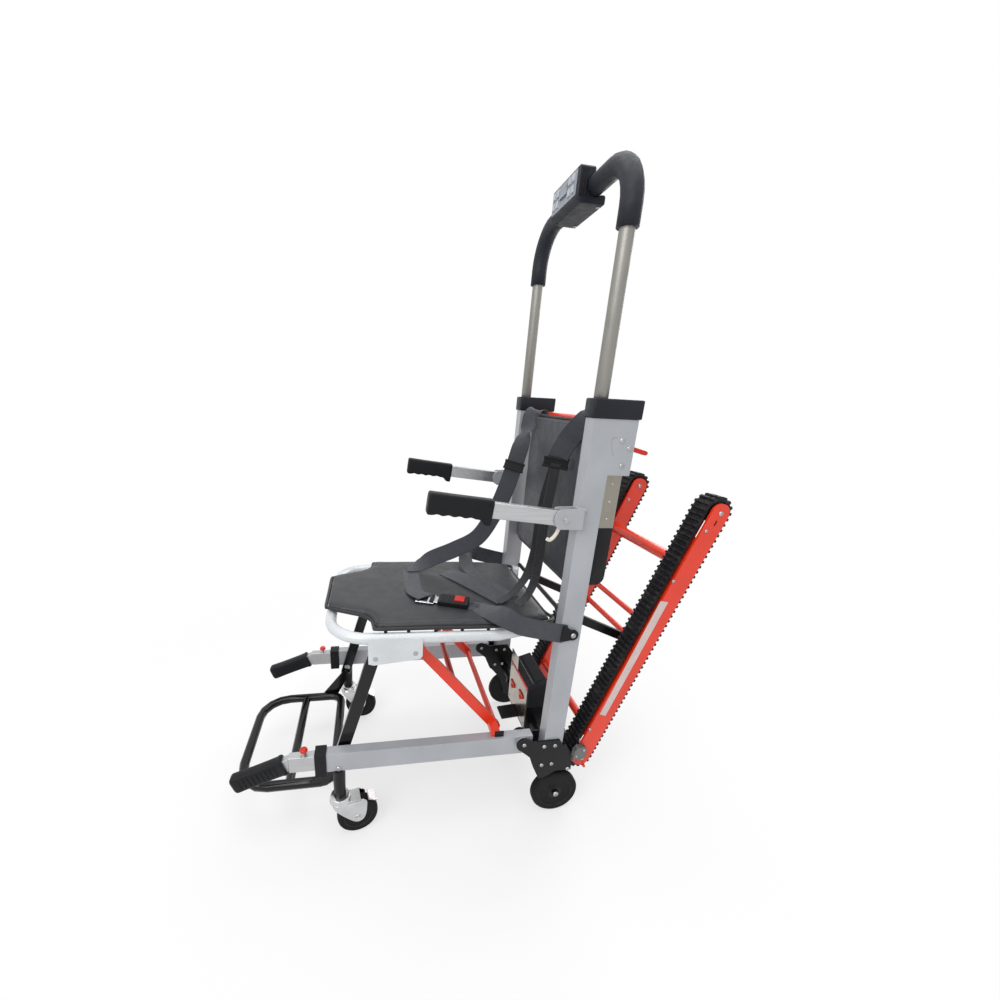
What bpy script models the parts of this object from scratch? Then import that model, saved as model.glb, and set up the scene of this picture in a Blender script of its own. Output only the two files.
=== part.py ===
"""Stair climbing chair: folding aluminium transport chair with a powered crawler at its back.

X is lateral (+X is the occupant's left), the chair faces -Y, +Z is up and the floor is Z = 0.
"""

import math

import bmesh
import bpy
from mathutils import Matrix, Vector

GAP = 0.0003
SIDES = ((1, "left"), (-1, "right"))

# Back frame. Depth is measured back from the front face of the uprights, height along them.
LEAN = math.radians(1.1)
FRONT_Y = 0.563
UPRIGHT_INNER_X = 0.195
UPRIGHT_WIDTH = 0.032
UPRIGHT_OUTER_X = UPRIGHT_INNER_X + UPRIGHT_WIDTH
UPRIGHT_DEPTH = 0.048
UPRIGHT_LOW = 0.206
UPRIGHT_TOP = 1.008
JOIN_OVERLAP = 0.004
JOIN_BITE = 0.001
CUT_ROOM = 0.010
HEAD_HEIGHT = 0.110
HEAD_LOW = UPRIGHT_TOP - HEAD_HEIGHT
HEAD_DEPTH = 0.096
LOCK_PLATE_HEIGHT = 0.113
LOCK_PLATE_LOW = HEAD_LOW - LOCK_PLATE_HEIGHT
LOCK_PLATE_DEPTH = 0.083
LOCK_PLATE_WIDTH = 0.020
COVER_HEIGHT = 0.130
COVER_LOW = LOCK_PLATE_LOW - COVER_HEIGHT
COVER_WIDTH = 0.026
COVER_NOSE = 0.020
COVER_EDGE = 0.002
CAP_HEIGHT = 0.037
CAP_LIP = 0.004
CAP_EDGE = 0.003

# Push handle.
POST_RADIUS = 0.0137
POST_X = 0.2110
POST_DEPTH = 0.0168
POST_CLEARANCE = 0.0004
POST_LOW = 0.700
POST_END_ROOM = 0.010
HANDLE_TRAVEL = 0.250
HANDLE_TOP = 1.448
HANDLE_BEND = 0.084
FOAM_RADIUS = 0.0195
FOAM_LENGTH = 0.119
FOAM_LOW = HANDLE_TOP - FOAM_LENGTH
BOX_HALF_LENGTH = 0.065
BOX_FRONT = -0.022
BOX_REAR = 0.014
BOX_HALF_HEIGHT = 0.032
BOX_LOW = HANDLE_TOP - BOX_HALF_HEIGHT
BOX_TOP = HANDLE_TOP + BOX_HALF_HEIGHT
BOX_CHAMFER = 0.010
BOX_SHELF_REAR = 0.041
BOX_SHELF_DROP = 0.015
BOX_SHELF_TOP = HANDLE_TOP - BOX_SHELF_DROP
BOX_EDGE = 0.003
ROCKER_SIZE = (0.034, 0.005, 0.018)
ROCKER_RISE = 0.007
ROCKER_HEIGHT = HANDLE_TOP + ROCKER_RISE
LEVER_DROP = 0.057
LEVER_HEIGHT = UPRIGHT_TOP - LEVER_DROP
LEVER_LENGTH = 0.030
LEVER_WIDTH = 0.012
LEVER_THICK = 0.009

# Armrests. The bar rises to the front.
ARM_PIVOT_AHEAD = 0.018
ARM_PIVOT = (FRONT_Y - ARM_PIVOT_AHEAD, 0.809)
ARM_RISE = math.radians(7.0)
ARM_X = 0.2275
ARM_WIDTH = 0.018
ARM_HALF_HEIGHT = 0.016
ARM_TAIL = 0.018
ARM_BAR_LENGTH = 0.153
ARM_TONGUE_LENGTH = 0.262
ARM_TONGUE_WIDTH = 0.012
ARM_TONGUE_HALF_HEIGHT = 0.011
GRIP_END = 0.284
GRIP_WIDTH = 0.026
GRIP_HALF_HEIGHT = 0.0215
GRIP_SCALLOP = 0.0030
GRIP_FINGERS = 4
GRIP_EDGE = 0.0025
GRIP_NOSE_TOP = 0.006
GRIP_NOSE_UNDER = 0.010
CHEEK_THICK = 0.004
CHEEK_REACH = 0.024
CHEEK_HALF_HEIGHT = 0.022
CHEEK_WEB_FRONT = -0.008
CHEEK_WEB_REAR = 0.005

# Back panel and top tube.
PANEL_DEPTH = 0.022
PANEL_THICK = 0.018
PANEL_LOW = 0.632
PANEL_DROP = 0.009
PANEL_TOP = UPRIGHT_TOP - PANEL_DROP
PANEL_HALF_WIDTH = 0.156
PANEL_WING_TOP = 0.716
PANEL_WING_LOW = 0.680
PANEL_CORNER = 0.028
PANEL_EDGE = 0.004
TOP_TUBE_RADIUS = 0.010
TOP_TUBE_DEPTH = 0.084
TOP_TUBE_DROP = 0.0105
TOP_TUBE_HEIGHT = UPRIGHT_TOP - TOP_TUBE_DROP

# Folding parallelogram: rail pivot A, seat pivot B, leg top D, and C where the leg meets the rail.
RAIL_LOW = 0.2025
RAIL_HEIGHT = 0.050
RAIL_TOP = RAIL_LOW + RAIL_HEIGHT
RAIL_Z = RAIL_LOW + RAIL_HEIGHT / 2
LINK_REACH = 0.088
LINK_RISE = 0.284
PIVOT_A_RISE = 0.0345
PIVOT_C_RISE = 0.0045
PIVOT_E_REACH = 0.355
PIVOT_E_DROP = 0.021
STRUT_FOOT_DROP = 0.0065
PIVOT_A = (0.515, RAIL_LOW + PIVOT_A_RISE)
PIVOT_C = (0.073, RAIL_LOW + PIVOT_C_RISE)
PIVOT_B = (PIVOT_A[0] + LINK_REACH, PIVOT_A[1] + LINK_RISE)
PIVOT_D = (PIVOT_C[0] + LINK_REACH, PIVOT_C[1] + LINK_RISE)
PIVOT_E = (PIVOT_B[0] - PIVOT_E_REACH, PIVOT_B[1] - PIVOT_E_DROP)
STRUT_FOOT = (0.459, RAIL_TOP - STRUT_FOOT_DROP)

# Base rails with telescoping carry tubes.
RAIL_INNER_X = UPRIGHT_INNER_X
RAIL_WIDTH = 0.025
RAIL_OUTER_X = RAIL_INNER_X + RAIL_WIDTH
RAIL_X = RAIL_INNER_X + RAIL_WIDTH / 2
RAIL_FRONT = 0.0240
RAIL_PIN_RADIUS = 0.004
RAIL_PIN_BITE = 0.0012
RAIL_BOSS_RADIUS = 0.014
RAIL_REAR = 0.540
CARRY_WIDTH = 0.020
CARRY_HEIGHT = 0.040
CARRY_REAR = 0.300
CARRY_END_ROOM = 0.035
CARRY_BEND_Y = -0.038
CARRY_DROP = math.radians(20.0)
CARRY_TIP = 0.112
CARRY_CORE_WIDTH = 0.016
CARRY_CORE_HEIGHT = 0.032
CARRY_CORE_BITE = 0.012
CARRY_GRIP_START = 0.010
CARRY_GRIP_LENGTH = 0.124
CARRY_GRIP_WIDTH = 0.028
CARRY_GRIP_HEIGHT = 0.045
CARRY_GRIP_EDGE = 0.008
COLLAR_FRONT = 0.020
COLLAR_REAR = 0.046
COLLAR_WIDTH = 0.031
COLLAR_DROP = 0.0115
COLLAR_RISE = 0.0032
COLLAR_LOW = RAIL_LOW - COLLAR_DROP
COLLAR_TOP = RAIL_TOP + COLLAR_RISE
KNOB_RADIUS = 0.009
KNOB_STEM_RADIUS = 0.004
KNOB_HEIGHT = 0.021
KNOB_Y = -0.004

# Corner brackets at the foot of the uprights.
PLATE_THICK = 0.004
EAR_RADIUS = 0.019
BRACKET_TOP = 0.243
BRACKET_NOTCH_Y = 0.540
BRACKET_TOP_REAR = 0.606
BRACKET_REAR = 0.646
BRACKET_REAR_TOP = 0.178
BRACKET_REAR_LOW = 0.146
BRACKET_ARCH = (0.606, 0.147)
BRACKET_TIP_REAR = 0.574
BRACKET_TIP_FRONT = 0.562
BRACKET_TIP_LOW = 0.128
BRACKET_HIP = 0.120
BRACKET_NECK = (0.545, 0.164)
BRACKET_THROAT = (0.533, 0.197)
BRACKET_WEB_Y = (0.624, 0.645)
BRACKET_WEB_Z = (0.148, 0.190)
AXLE_RADIUS = 0.006
AXLE_HEAD_RADIUS = 0.009
AXLE_HEAD_THICK = 0.004
AXLE_LOBE_RADIUS = 0.018

# Rear wheels.
WHEEL_RADIUS = 0.0615
WHEEL_CENTRE = (0.619, WHEEL_RADIUS)
WHEEL_INNER_X = 0.1975
WHEEL_WIDTH = 0.022
WHEEL_HUB_RADIUS = 0.018
WHEEL_RIM_RADIUS = 0.046
WHEEL_WEB_INSET = 0.005
WHEEL_HUB_PROUD = 0.0005
WHEEL_SHOULDER = 0.004

# Castors. The fork is drawn trailing to +Y and then swivelled inwards.
CASTER_Y = 0.072
CASTER_X = RAIL_X
CASTER_TURN = math.radians(10.0)
CASTER_TRAIL = 0.040
CASTER_RADIUS = 0.050
CASTER_WIDTH = 0.026
CASTER_HUB_RADIUS = 0.014
CASTER_RIM_RADIUS = 0.034
CASTER_AXLE_RADIUS = 0.004
CASTER_CHEEK_IN = 0.0145
CASTER_CHEEK_OUT = 0.0180
CASTER_CHEEK_FRONT = 0.017
CASTER_CHEEK_RISE = 0.008
CASTER_CHEEK_DROP = 0.0035
CASTER_CHEEK_RADIUS = 0.012
CASTER_PIN_PROUD = 0.003
CASTER_SHOULDER = 0.006
CASTER_WEB_INSET = 0.004
CASTER_CROWN_LOW = 0.1035
CASTER_CROWN_TOP = 0.119
CASTER_CROWN_RADIUS = 0.023
CASTER_STEM_LOW_RADIUS = 0.0125
CASTER_STEM_TOP_RADIUS = 0.0145
BRAKE_PIVOT = (0.0655, 0.0972)
BRAKE_LENGTH = 0.024
BRAKE_DROP = math.radians(26.0)
BRAKE_THICK = 0.003
BRAKE_EDGE = 0.001
BRAKE_WIDTH = 0.031

# Seat. Reach is measured forwards from pivot B, level is height above the tube's centre line.
SEAT_RISE = math.radians(1.6)
SEAT_TUBE_RADIUS = 0.0125
SEAT_TUBE_X = 0.198
SEAT_TAIL_X = 0.1812
SEAT_TAIL_REACH = -0.008
SEAT_TAIL_BEND = 0.105
SEAT_WIDE_BEND = 0.165
SEAT_FRONT_REACH = 0.543
SEAT_CORNER = 0.088
SEAT_BOSS_RADIUS = 0.0115
SEAT_PLATE_X = 0.2085
SEAT_PLATE_LIP = 0.0155
SEAT_PLATE_FRONT_RISE = 0.050
SEAT_PLATE_REAR_RISE = 0.036
SEAT_PLATE_FRONT_TOP = PIVOT_D[1] + SEAT_PLATE_FRONT_RISE
SEAT_PLATE_REAR_TOP = PIVOT_E[1] + SEAT_PLATE_REAR_RISE
SEAT_PIN_RADIUS = 0.006
PAD_LEVEL = SEAT_TUBE_RADIUS + GAP
PAD_THICK = 0.0145
PAD_HALF_WIDTH = 0.193
PAD_REAR_REACH = 0.030
PAD_REAR_HALF_WIDTH = 0.172
PAD_NOTCH_REACH = 0.445
PAD_FRONT_REACH = 0.557
PAD_FRONT_HALF_WIDTH = 0.088
PAD_WAIST = (0.117, 0.497)
PAD_SHOULDER_X = 0.155
PAD_TURN = 0.010
PAD_SWEEP = 0.015
PAD_EDGE = 0.004
PAD_CHANNEL_REACH = 0.368
PAD_CHANNEL_WIDTH = 0.0015
PAD_CHANNEL_DEPTH = 0.0010

# Legs, strut and footrest.
LEG_INNER_X = 0.1745
LEG_THICK = 0.015
LEG_HALF_WIDTH = 0.0145
LEG_TAIL = 0.020
STRUT_X = 0.166
STRUT_THICK = 0.012
STRUT_HALF_WIDTH = 0.012
STRUT_TUBE_RADIUS = 0.0075
STRUT_MIDDLE = 0.47
STRUT_PAD_HALF_LENGTH = 0.011
STRUT_PAD_HEIGHT = 0.013
STRUT_PAD_REACH = 0.046
FOOT_TUBE_RADIUS = 0.0125
FOOT_BAR_RADIUS = 0.0115
FOOT_BOSS_RADIUS = 0.009
FOOT_HALF_WIDTH = 0.160
FOOT_Z = 0.1135
FOOT_FRONT = -0.178
FOOT_MIDDLE = -0.054
FOOT_REAR = 0.053
FOOT_FRONT_CORNER = 0.075
FOOT_REAR_CORNER = 0.032
GUSSET_X = 0.1650
GUSSET_THICK = 0.0045
GUSSET_FRONT = -0.012
GUSSET_REAR = 0.038
GUSSET_BITE = 0.003
GUSSET_EYE = 0.0125

# Crawler. Rise is measured up the track from the drive axle, offset square to it.
DRIVE_AXIS = (0.698, 0.132)
TRACK_LEAN = math.radians(20.2)
TRACK_LENGTH = 0.715
TRACK_HALF_WIDTH = 0.0228
TRACK_OUTER_X = 0.1875
TRACK_INNER_X = 0.1250
TRACK_PLATE_THICK = 0.006
BEAM_HALF_WIDTH = 0.016
BEAM_LOW = 0.060
BEAM_END_ROOM = 0.070
BEAM_TOP = TRACK_LENGTH - BEAM_END_ROOM
BELT_WIDTH = 0.0455
BELT_INNER_RADIUS = 0.0268
BELT_BASE_RADIUS = 0.0318
BELT_TIP_RADIUS = 0.0378
BELT_TEETH = 84
BELT_TOOTH_SHARE = 0.55
BELT_TOOTH_TAPER = 0.10
BELT_LAND_SLOPE = 0.0006
SHAFT_RADIUS = 0.008
SHAFT_CLEARANCE = 0.0004
SHAFT_PROUD = 0.0015
PULLEY_WIDTH = 0.0395
TOP_CROSS_DROP = 0.140
TOP_CROSS_TUBE = (0.0145, TRACK_LENGTH - TOP_CROSS_DROP, -0.007)
UPPER_CROSS_TUBE = (0.0075, 0.399, 0.003)
LOWER_CROSS_TUBE = (0.0075, 0.342, 0.006)
FOOT_CROSS_TUBE = (0.011, 0.080, -0.011)
TRACK_TUBES = (TOP_CROSS_TUBE, UPPER_CROSS_TUBE, LOWER_CROSS_TUBE, FOOT_CROSS_TUBE)
STAY_PIVOT = (0.622, 0.534)
STAY_END = (0.800, 0.452)
STAY_X = 0.1065
STAY_THICK = 0.012
STAY_HALF_WIDTH = 0.011
STAY_SHAFT_RADIUS = 0.006

# Drive unit between the corner brackets.
UNIT_HALF_WIDTH = 0.074
UNIT_FRONT = 0.580
UNIT_REAR = 0.637
HOUSING_LOW = 0.128
HOUSING_TOP = 0.206
BATTERY_FRONT_TOP = 0.272
BATTERY_REAR_TOP = 0.291
BATTERY_EDGE = 0.003
CROSS_TUBE_RADIUS = 0.012
CROSS_TUBE_AT = (0.602, 0.158)
LUG_X = 0.110
LUG_THICK = 0.010
LUG_RADIUS = 0.018
PEDAL_HALF_WIDTH = 0.024
PEDAL_LENGTH = 0.045
PEDAL_Z = 0.140
PEDAL_THICK = 0.008
PEDAL_DROP = 0.004
PEDAL_EDGE = 0.002

# Belts.
BELT_STRAP_WIDTH = 0.044
STRAP_THICK = 0.002
STRAP_RISE = STRAP_THICK / 2 + GAP
BUCKLE_SPOT = (0.100, -0.251)
BUCKLE_TURN = math.radians(-18.0)
BUCKLE_HALF_WIDTH = 0.0225
BUCKLE_HALF_LENGTH = 0.035
BUCKLE_THICK = 0.016
BUCKLE_EDGE = 0.003
BUTTON_SIZE = (0.026, 0.024, 0.006)
BUTTON_PROUD = 0.0035
BUTTON_TRAVEL = 0.0025
BUTTON_OFF_CENTRE = 0.012

BACK = Matrix.Translation((0, FRONT_Y, 0)) @ Matrix.Rotation(-LEAN, 4, "X")
SEAT = Matrix.Translation((0, *PIVOT_B)) @ Matrix.Rotation(-SEAT_RISE, 4, "X")
TRACK = Matrix.Translation((0, *DRIVE_AXIS)) @ Matrix.Rotation(-TRACK_LEAN, 4, "X")
SIDE_VIEW = Matrix(((0, 0, 1, 0), (1, 0, 0, 0), (0, 1, 0, 0), (0, 0, 0, 1)))
FRONT_VIEW = Matrix(((1, 0, 0, 0), (0, 0, -1, 0), (0, 1, 0, 0), (0, 0, 0, 1)))

FOOT_FRONT_Y = FOOT_FRONT - FOOT_TUBE_RADIUS
TRACK_REAR_Y = DRIVE_AXIS[0] + TRACK_LENGTH * math.sin(TRACK_LEAN) + BELT_TIP_RADIUS
MIDDLE_Y = (FOOT_FRONT_Y + TRACK_REAR_Y) / 2


def clear_scene():
    for obj in list(bpy.data.objects):
        bpy.data.objects.remove(obj, do_unlink=True)


def make_collection(name):
    collection = bpy.data.collections.new(name)
    bpy.context.scene.collection.children.link(collection)
    return collection


clear_scene()
PARTS = make_collection("stair_climbing_chair")
CUTTERS = make_collection("cutters")


def paint(name, colour, roughness, metallic):
    material = bpy.data.materials.new(name)
    material.use_nodes = True
    shader = material.node_tree.nodes["Principled BSDF"]
    shader.inputs["Base Color"].default_value = (*colour, 1)
    shader.inputs["Roughness"].default_value = roughness
    shader.inputs["Metallic"].default_value = metallic
    return material


SILVER = paint("silver_paint", (0.46, 0.49, 0.53), 0.35, 0.3)
ALUMINIUM = paint("aluminium", (0.62, 0.63, 0.64), 0.32, 1.0)
STEEL = paint("stainless_steel", (0.45, 0.43, 0.41), 0.3, 1.0)
CHROME = paint("zinc_plated_steel", (0.7, 0.71, 0.72), 0.2, 1.0)
BLACK_METAL = paint("black_paint", (0.015, 0.015, 0.017), 0.3, 0.0)
BLACK_PLASTIC = paint("black_plastic", (0.02, 0.02, 0.022), 0.5, 0.0)
GREY_PLASTIC = paint("grey_plastic", (0.42, 0.44, 0.47), 0.45, 0.0)
RUBBER = paint("rubber", (0.025, 0.025, 0.027), 0.75, 0.0)
FOAM = paint("foam", (0.02, 0.022, 0.026), 0.6, 0.0)
RED = paint("red_paint", (0.83, 0.10, 0.03), 0.35, 0.0)
RED_PLASTIC = paint("red_plastic", (0.72, 0.03, 0.02), 0.4, 0.0)
CLOTH = paint("black_cloth", (0.025, 0.026, 0.03), 0.85, 0.0)
WEBBING = paint("webbing", (0.035, 0.04, 0.052), 0.8, 0.0)


def make_body(name, position, parent=None):
    """An empty on the joint of a moving group, to which its pieces are parented."""
    body = bpy.data.objects.new(name, None)
    PARTS.objects.link(body)
    body.empty_display_size = 0.02
    body.location = position
    if parent:
        body.parent = parent
        body.matrix_parent_inverse = Matrix.Translation(parent["pivot"]).inverted()
    body["pivot"] = position
    return body


def attach(obj, body):
    obj.parent = body
    obj.matrix_parent_inverse = Matrix.Translation(body["pivot"]).inverted()
    return obj


def finish(name, mesh, body, material, smooth=False):
    mesh.name = name
    mesh.materials.append(material)
    if smooth:
        mesh.shade_smooth()
    obj = bpy.data.objects.new(name, mesh)
    PARTS.objects.link(obj)
    return attach(obj, body)


def mesh_of(bm):
    bmesh.ops.recalc_face_normals(bm, faces=bm.faces)
    mesh = bpy.data.meshes.new("shape")
    bm.to_mesh(mesh)
    bm.free()
    return mesh


def box(low, high):
    bm = bmesh.new()
    size = [b - a for a, b in zip(low, high)]
    middle = [(a + b) / 2 for a, b in zip(low, high)]
    bmesh.ops.create_cube(bm, size=1, matrix=Matrix.Translation(middle) @ Matrix.Diagonal((*size, 1)))
    return mesh_of(bm)


def rod(start, end, radius, sides=16):
    start, end = Vector(start), Vector(end)
    along = end - start
    turn = along.to_track_quat("Z", "Y").to_matrix().to_4x4()
    bm = bmesh.new()
    bmesh.ops.create_cone(
        bm, cap_ends=True, segments=sides, radius1=radius, radius2=radius, depth=along.length,
        matrix=Matrix.Translation((start + end) / 2) @ turn,
    )
    return mesh_of(bm)


def cross_rod(at, radius, x_from, x_to, sides=16):
    return rod((x_from, *at), (x_to, *at), radius, sides)


def curve_mesh(curve):
    """The solid that a curve makes, as a mesh."""
    guide = bpy.data.objects.new("guide", curve)
    CUTTERS.objects.link(guide)
    graph = bpy.context.evaluated_depsgraph_get()
    mesh = bpy.data.meshes.new_from_object(guide.evaluated_get(graph))
    bpy.data.objects.remove(guide)
    bm = bmesh.new()
    bm.from_mesh(mesh)
    bmesh.ops.remove_doubles(bm, verts=bm.verts, dist=1e-5)
    return mesh_of(bm)


def sheet(outlines, low, high, view=SIDE_VIEW):
    """A flat outline with its holes, filled and given a thickness from low to high along the view."""
    curve = bpy.data.curves.new("outline", "CURVE")
    curve.dimensions = "2D"
    curve.fill_mode = "BOTH"
    curve.extrude = (high - low) / 2
    for outline in outlines:
        spline = curve.splines.new("POLY")
        spline.points.add(len(outline) - 1)
        for point, (u, v) in zip(spline.points, outline):
            point.co = (u, v, 0, 1)
        spline.use_cyclic_u = True
    mesh = curve_mesh(curve)
    mesh.transform(view @ Matrix.Translation((0, 0, (low + high) / 2)))
    return mesh


def tube(path, radius, resolution=4, closed=False):
    curve = bpy.data.curves.new("path", "CURVE")
    curve.dimensions = "3D"
    curve.bevel_depth = radius
    curve.bevel_resolution = resolution
    curve.use_fill_caps = True
    spline = curve.splines.new("POLY")
    spline.points.add(len(path) - 1)
    for point, at in zip(spline.points, path):
        point.co = (*at, 1)
    spline.use_cyclic_u = closed
    return curve_mesh(curve)


def lathe(profile, steps, closed=True):
    """A closed (distance along X, radius) outline turned about the X axis."""
    bm = bmesh.new()
    verts = [bm.verts.new((along, 0, radius)) for along, radius in profile]
    edges = [bm.edges.new(pair) for pair in zip(verts, verts[1:])]
    if closed:
        edges.append(bm.edges.new((verts[-1], verts[0])))
    bmesh.ops.spin(
        bm, geom=verts + edges, cent=(0, 0, 0), axis=(1, 0, 0), angle=2 * math.pi, steps=steps,
        use_merge=True,
    )
    bmesh.ops.remove_doubles(bm, verts=bm.verts, dist=1e-5)
    return mesh_of(bm)


def strap_side(bm, near, far, side):
    """One side of a strap between two rings. Both broad sides fold along the same diagonal."""
    after = (side + 1) % 4
    if side < 2:
        halves = ((near[side], near[after], far[after]), (near[side], far[after], far[side]))
    else:
        halves = ((near[side], near[after], far[side]), (near[after], far[after], far[side]))
    for half in halves:
        bm.faces.new(half)


def ribbon(stations, width, thickness):
    """A strap through the stations, each a centre and the direction of the strap's width there."""
    bm = bmesh.new()
    centres = [Vector(centre) for centre, _ in stations]
    rings = []
    for index, (_, across) in enumerate(stations):
        ahead = centres[min(index + 1, len(centres) - 1)]
        behind = centres[max(index - 1, 0)]
        tangent = (ahead - behind).normalized()
        across = Vector(across)
        across = (across - across.dot(tangent) * tangent).normalized() * width / 2
        lift = tangent.cross(across).normalized() * thickness / 2
        corners = (across + lift, lift - across, -across - lift, across - lift)
        rings.append([bm.verts.new(centres[index] + corner) for corner in corners])
    for near, far in zip(rings, rings[1:]):
        for side in range(4):
            strap_side(bm, near, far, side)
    bm.faces.new(rings[0])
    bm.faces.new(rings[-1][::-1])
    return mesh_of(bm)


def placed(mesh, matrix):
    mesh.transform(matrix)
    return mesh


def combine(target, operation, meshes):
    for number, mesh in enumerate(meshes):
        helper = bpy.data.objects.new(f"{target.name}_{operation.lower()}_{len(target.modifiers)}", mesh)
        CUTTERS.objects.link(helper)
        helper.hide_render = True
        helper.display_type = "WIRE"
        helper.parent = target.parent
        helper.matrix_parent_inverse = target.matrix_parent_inverse.copy()
        modifier = target.modifiers.new(f"{operation.lower()}_{number}", "BOOLEAN")
        modifier.operation = operation
        modifier.solver = "EXACT"
        modifier.object = helper


def join(target, *meshes):
    combine(target, "UNION", meshes)


def cut(target, *meshes):
    combine(target, "DIFFERENCE", meshes)


def soften(obj, width, segments=2, angle=math.radians(40)):
    bevel = obj.modifiers.new("edges", "BEVEL")
    bevel.width = width
    bevel.segments = segments
    bevel.limit_method = "ANGLE"
    bevel.angle_limit = angle
    bevel.harden_normals = False


def arc(centre, radius, start, end, steps):
    """Points on an arc from one angle to another, in degrees."""
    angles = [math.radians(start + (end - start) * step / steps) for step in range(steps + 1)]
    return [(centre[0] + radius * math.cos(a), centre[1] + radius * math.sin(a)) for a in angles]


def link_outline(start, end, radius, steps=8):
    """A bar with round ends about two pivots."""
    angle = math.degrees(math.atan2(end[1] - start[1], end[0] - start[0]))
    far_end = arc(end, radius, angle - 90, angle + 90, steps)
    return far_end + arc(start, radius, angle + 90, angle + 270, steps)


def mirrored(x_from, x_to, side):
    return tuple(sorted((side * x_from, side * x_to)))


def sided_box(side, x_range, y_range, z_range):
    low_x, high_x = mirrored(*x_range, side)
    return box((low_x, y_range[0], z_range[0]), (high_x, y_range[1], z_range[1]))


def back_point(depth, height):
    """World (y, z) of a point on the leaning back frame."""
    point = BACK @ Vector((0, depth, height))
    return point.y, point.z


def build_uprights(frame):
    outline = (
        (0, UPRIGHT_LOW), (UPRIGHT_DEPTH, UPRIGHT_LOW), (UPRIGHT_DEPTH, HEAD_LOW), (HEAD_DEPTH, HEAD_LOW),
        (HEAD_DEPTH, UPRIGHT_TOP), (0, UPRIGHT_TOP),
    )
    overlap = JOIN_OVERLAP
    bore_low = POST_LOW - HANDLE_TRAVEL - POST_END_ROOM
    middle = UPRIGHT_INNER_X + UPRIGHT_WIDTH / 2
    for side, tag in SIDES:
        x_range = mirrored(UPRIGHT_INNER_X, UPRIGHT_OUTER_X, side)
        upright = finish(f"upright_{tag}", placed(sheet([outline], *x_range), BACK), frame, SILVER)
        plate = sided_box(
            side, (middle - LOCK_PLATE_WIDTH / 2, middle + LOCK_PLATE_WIDTH / 2),
            (UPRIGHT_DEPTH - overlap, LOCK_PLATE_DEPTH), (LOCK_PLATE_LOW, HEAD_LOW + overlap),
        )
        join(upright, placed(plate, BACK), *arm_bracket(side))
        bore = rod(
            (side * POST_X, POST_DEPTH, bore_low), (side * POST_X, POST_DEPTH, UPRIGHT_TOP + overlap),
            POST_RADIUS + POST_CLEARANCE, 20,
        )
        cut(upright, placed(bore, BACK))
        cap_x = (UPRIGHT_INNER_X - CAP_LIP, UPRIGHT_OUTER_X + CAP_LIP)
        cap_low = UPRIGHT_TOP + GAP
        cap_mesh = sided_box(
            side, cap_x, (-CAP_LIP, HEAD_DEPTH + CAP_LIP), (cap_low, cap_low + CAP_HEIGHT)
        )
        cap = finish(f"cap_{tag}", placed(cap_mesh, BACK), frame, BLACK_PLASTIC)
        soften(cap, CAP_EDGE)
        cap_bore = rod(
            (side * POST_X, POST_DEPTH, cap_low - overlap),
            (side * POST_X, POST_DEPTH, cap_low + CAP_HEIGHT + overlap), POST_RADIUS + POST_CLEARANCE, 20,
        )
        cut(cap, placed(cap_bore, BACK))
        build_lock_cover(frame, side, tag, middle)


def arm_bracket(side):
    """Two cheeks and a web in front of the upright, between which the armrest turns."""
    inner = ARM_X - ARM_WIDTH / 2 - GAP
    outer = ARM_X + ARM_WIDTH / 2 + GAP
    web_face = back_point(CHEEK_WEB_REAR, ARM_PIVOT[1])[0]
    web_front = back_point(CHEEK_WEB_FRONT, ARM_PIVOT[1])[0]
    heights = (ARM_PIVOT[1] - CHEEK_HALF_HEIGHT, ARM_PIVOT[1] + CHEEK_HALF_HEIGHT)
    outline = [
        (web_face, heights[0]), (web_face, heights[1]), *arc(ARM_PIVOT, CHEEK_REACH, 120, 240, 6),
    ]
    pieces = [sided_box(side, (inner - CHEEK_THICK, outer + CHEEK_THICK), (web_front, web_face), heights)]
    for x_range in ((inner - CHEEK_THICK, inner), (outer, outer + CHEEK_THICK)):
        pieces.append(sheet([outline], *mirrored(*x_range, side)))
    return pieces


def build_lock_cover(frame, side, tag, middle):
    near = UPRIGHT_DEPTH + GAP
    outline = (
        (near, COVER_LOW), (LOCK_PLATE_DEPTH - COVER_NOSE, COVER_LOW),
        *arc((LOCK_PLATE_DEPTH - COVER_NOSE, COVER_LOW + COVER_NOSE), COVER_NOSE, -60, 0, 4),
        (LOCK_PLATE_DEPTH, LOCK_PLATE_LOW - GAP), (near, LOCK_PLATE_LOW - GAP),
    )
    x_range = mirrored(middle - COVER_WIDTH / 2, middle + COVER_WIDTH / 2, side)
    cover = finish(f"lock_cover_{tag}", placed(sheet([outline], *x_range), BACK), frame, BLACK_PLASTIC)
    soften(cover, COVER_EDGE)


def build_back(frame):
    wing = UPRIGHT_INNER_X - GAP
    right_half = [
        *arc((wing - PANEL_CORNER, PANEL_LOW + PANEL_CORNER), PANEL_CORNER, -90, 0, 5),
        (wing, PANEL_WING_LOW), (PANEL_HALF_WIDTH, PANEL_WING_TOP),
        *arc((PANEL_HALF_WIDTH - PANEL_CORNER, PANEL_TOP - PANEL_CORNER), PANEL_CORNER, 0, 90, 5),
    ]
    outline = right_half + [(-x, z) for x, z in reversed(right_half)]
    low, high = -PANEL_DEPTH - PANEL_THICK, -PANEL_DEPTH
    panel = finish("back_panel", placed(sheet([outline], low, high, FRONT_VIEW), BACK), frame, CLOTH)
    soften(panel, PANEL_EDGE)
    reach = UPRIGHT_INNER_X - GAP
    top_tube = cross_rod((TOP_TUBE_DEPTH, TOP_TUBE_HEIGHT), TOP_TUBE_RADIUS, -reach, reach)
    finish("top_tube", placed(top_tube, BACK), frame, RED, smooth=True)


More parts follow.
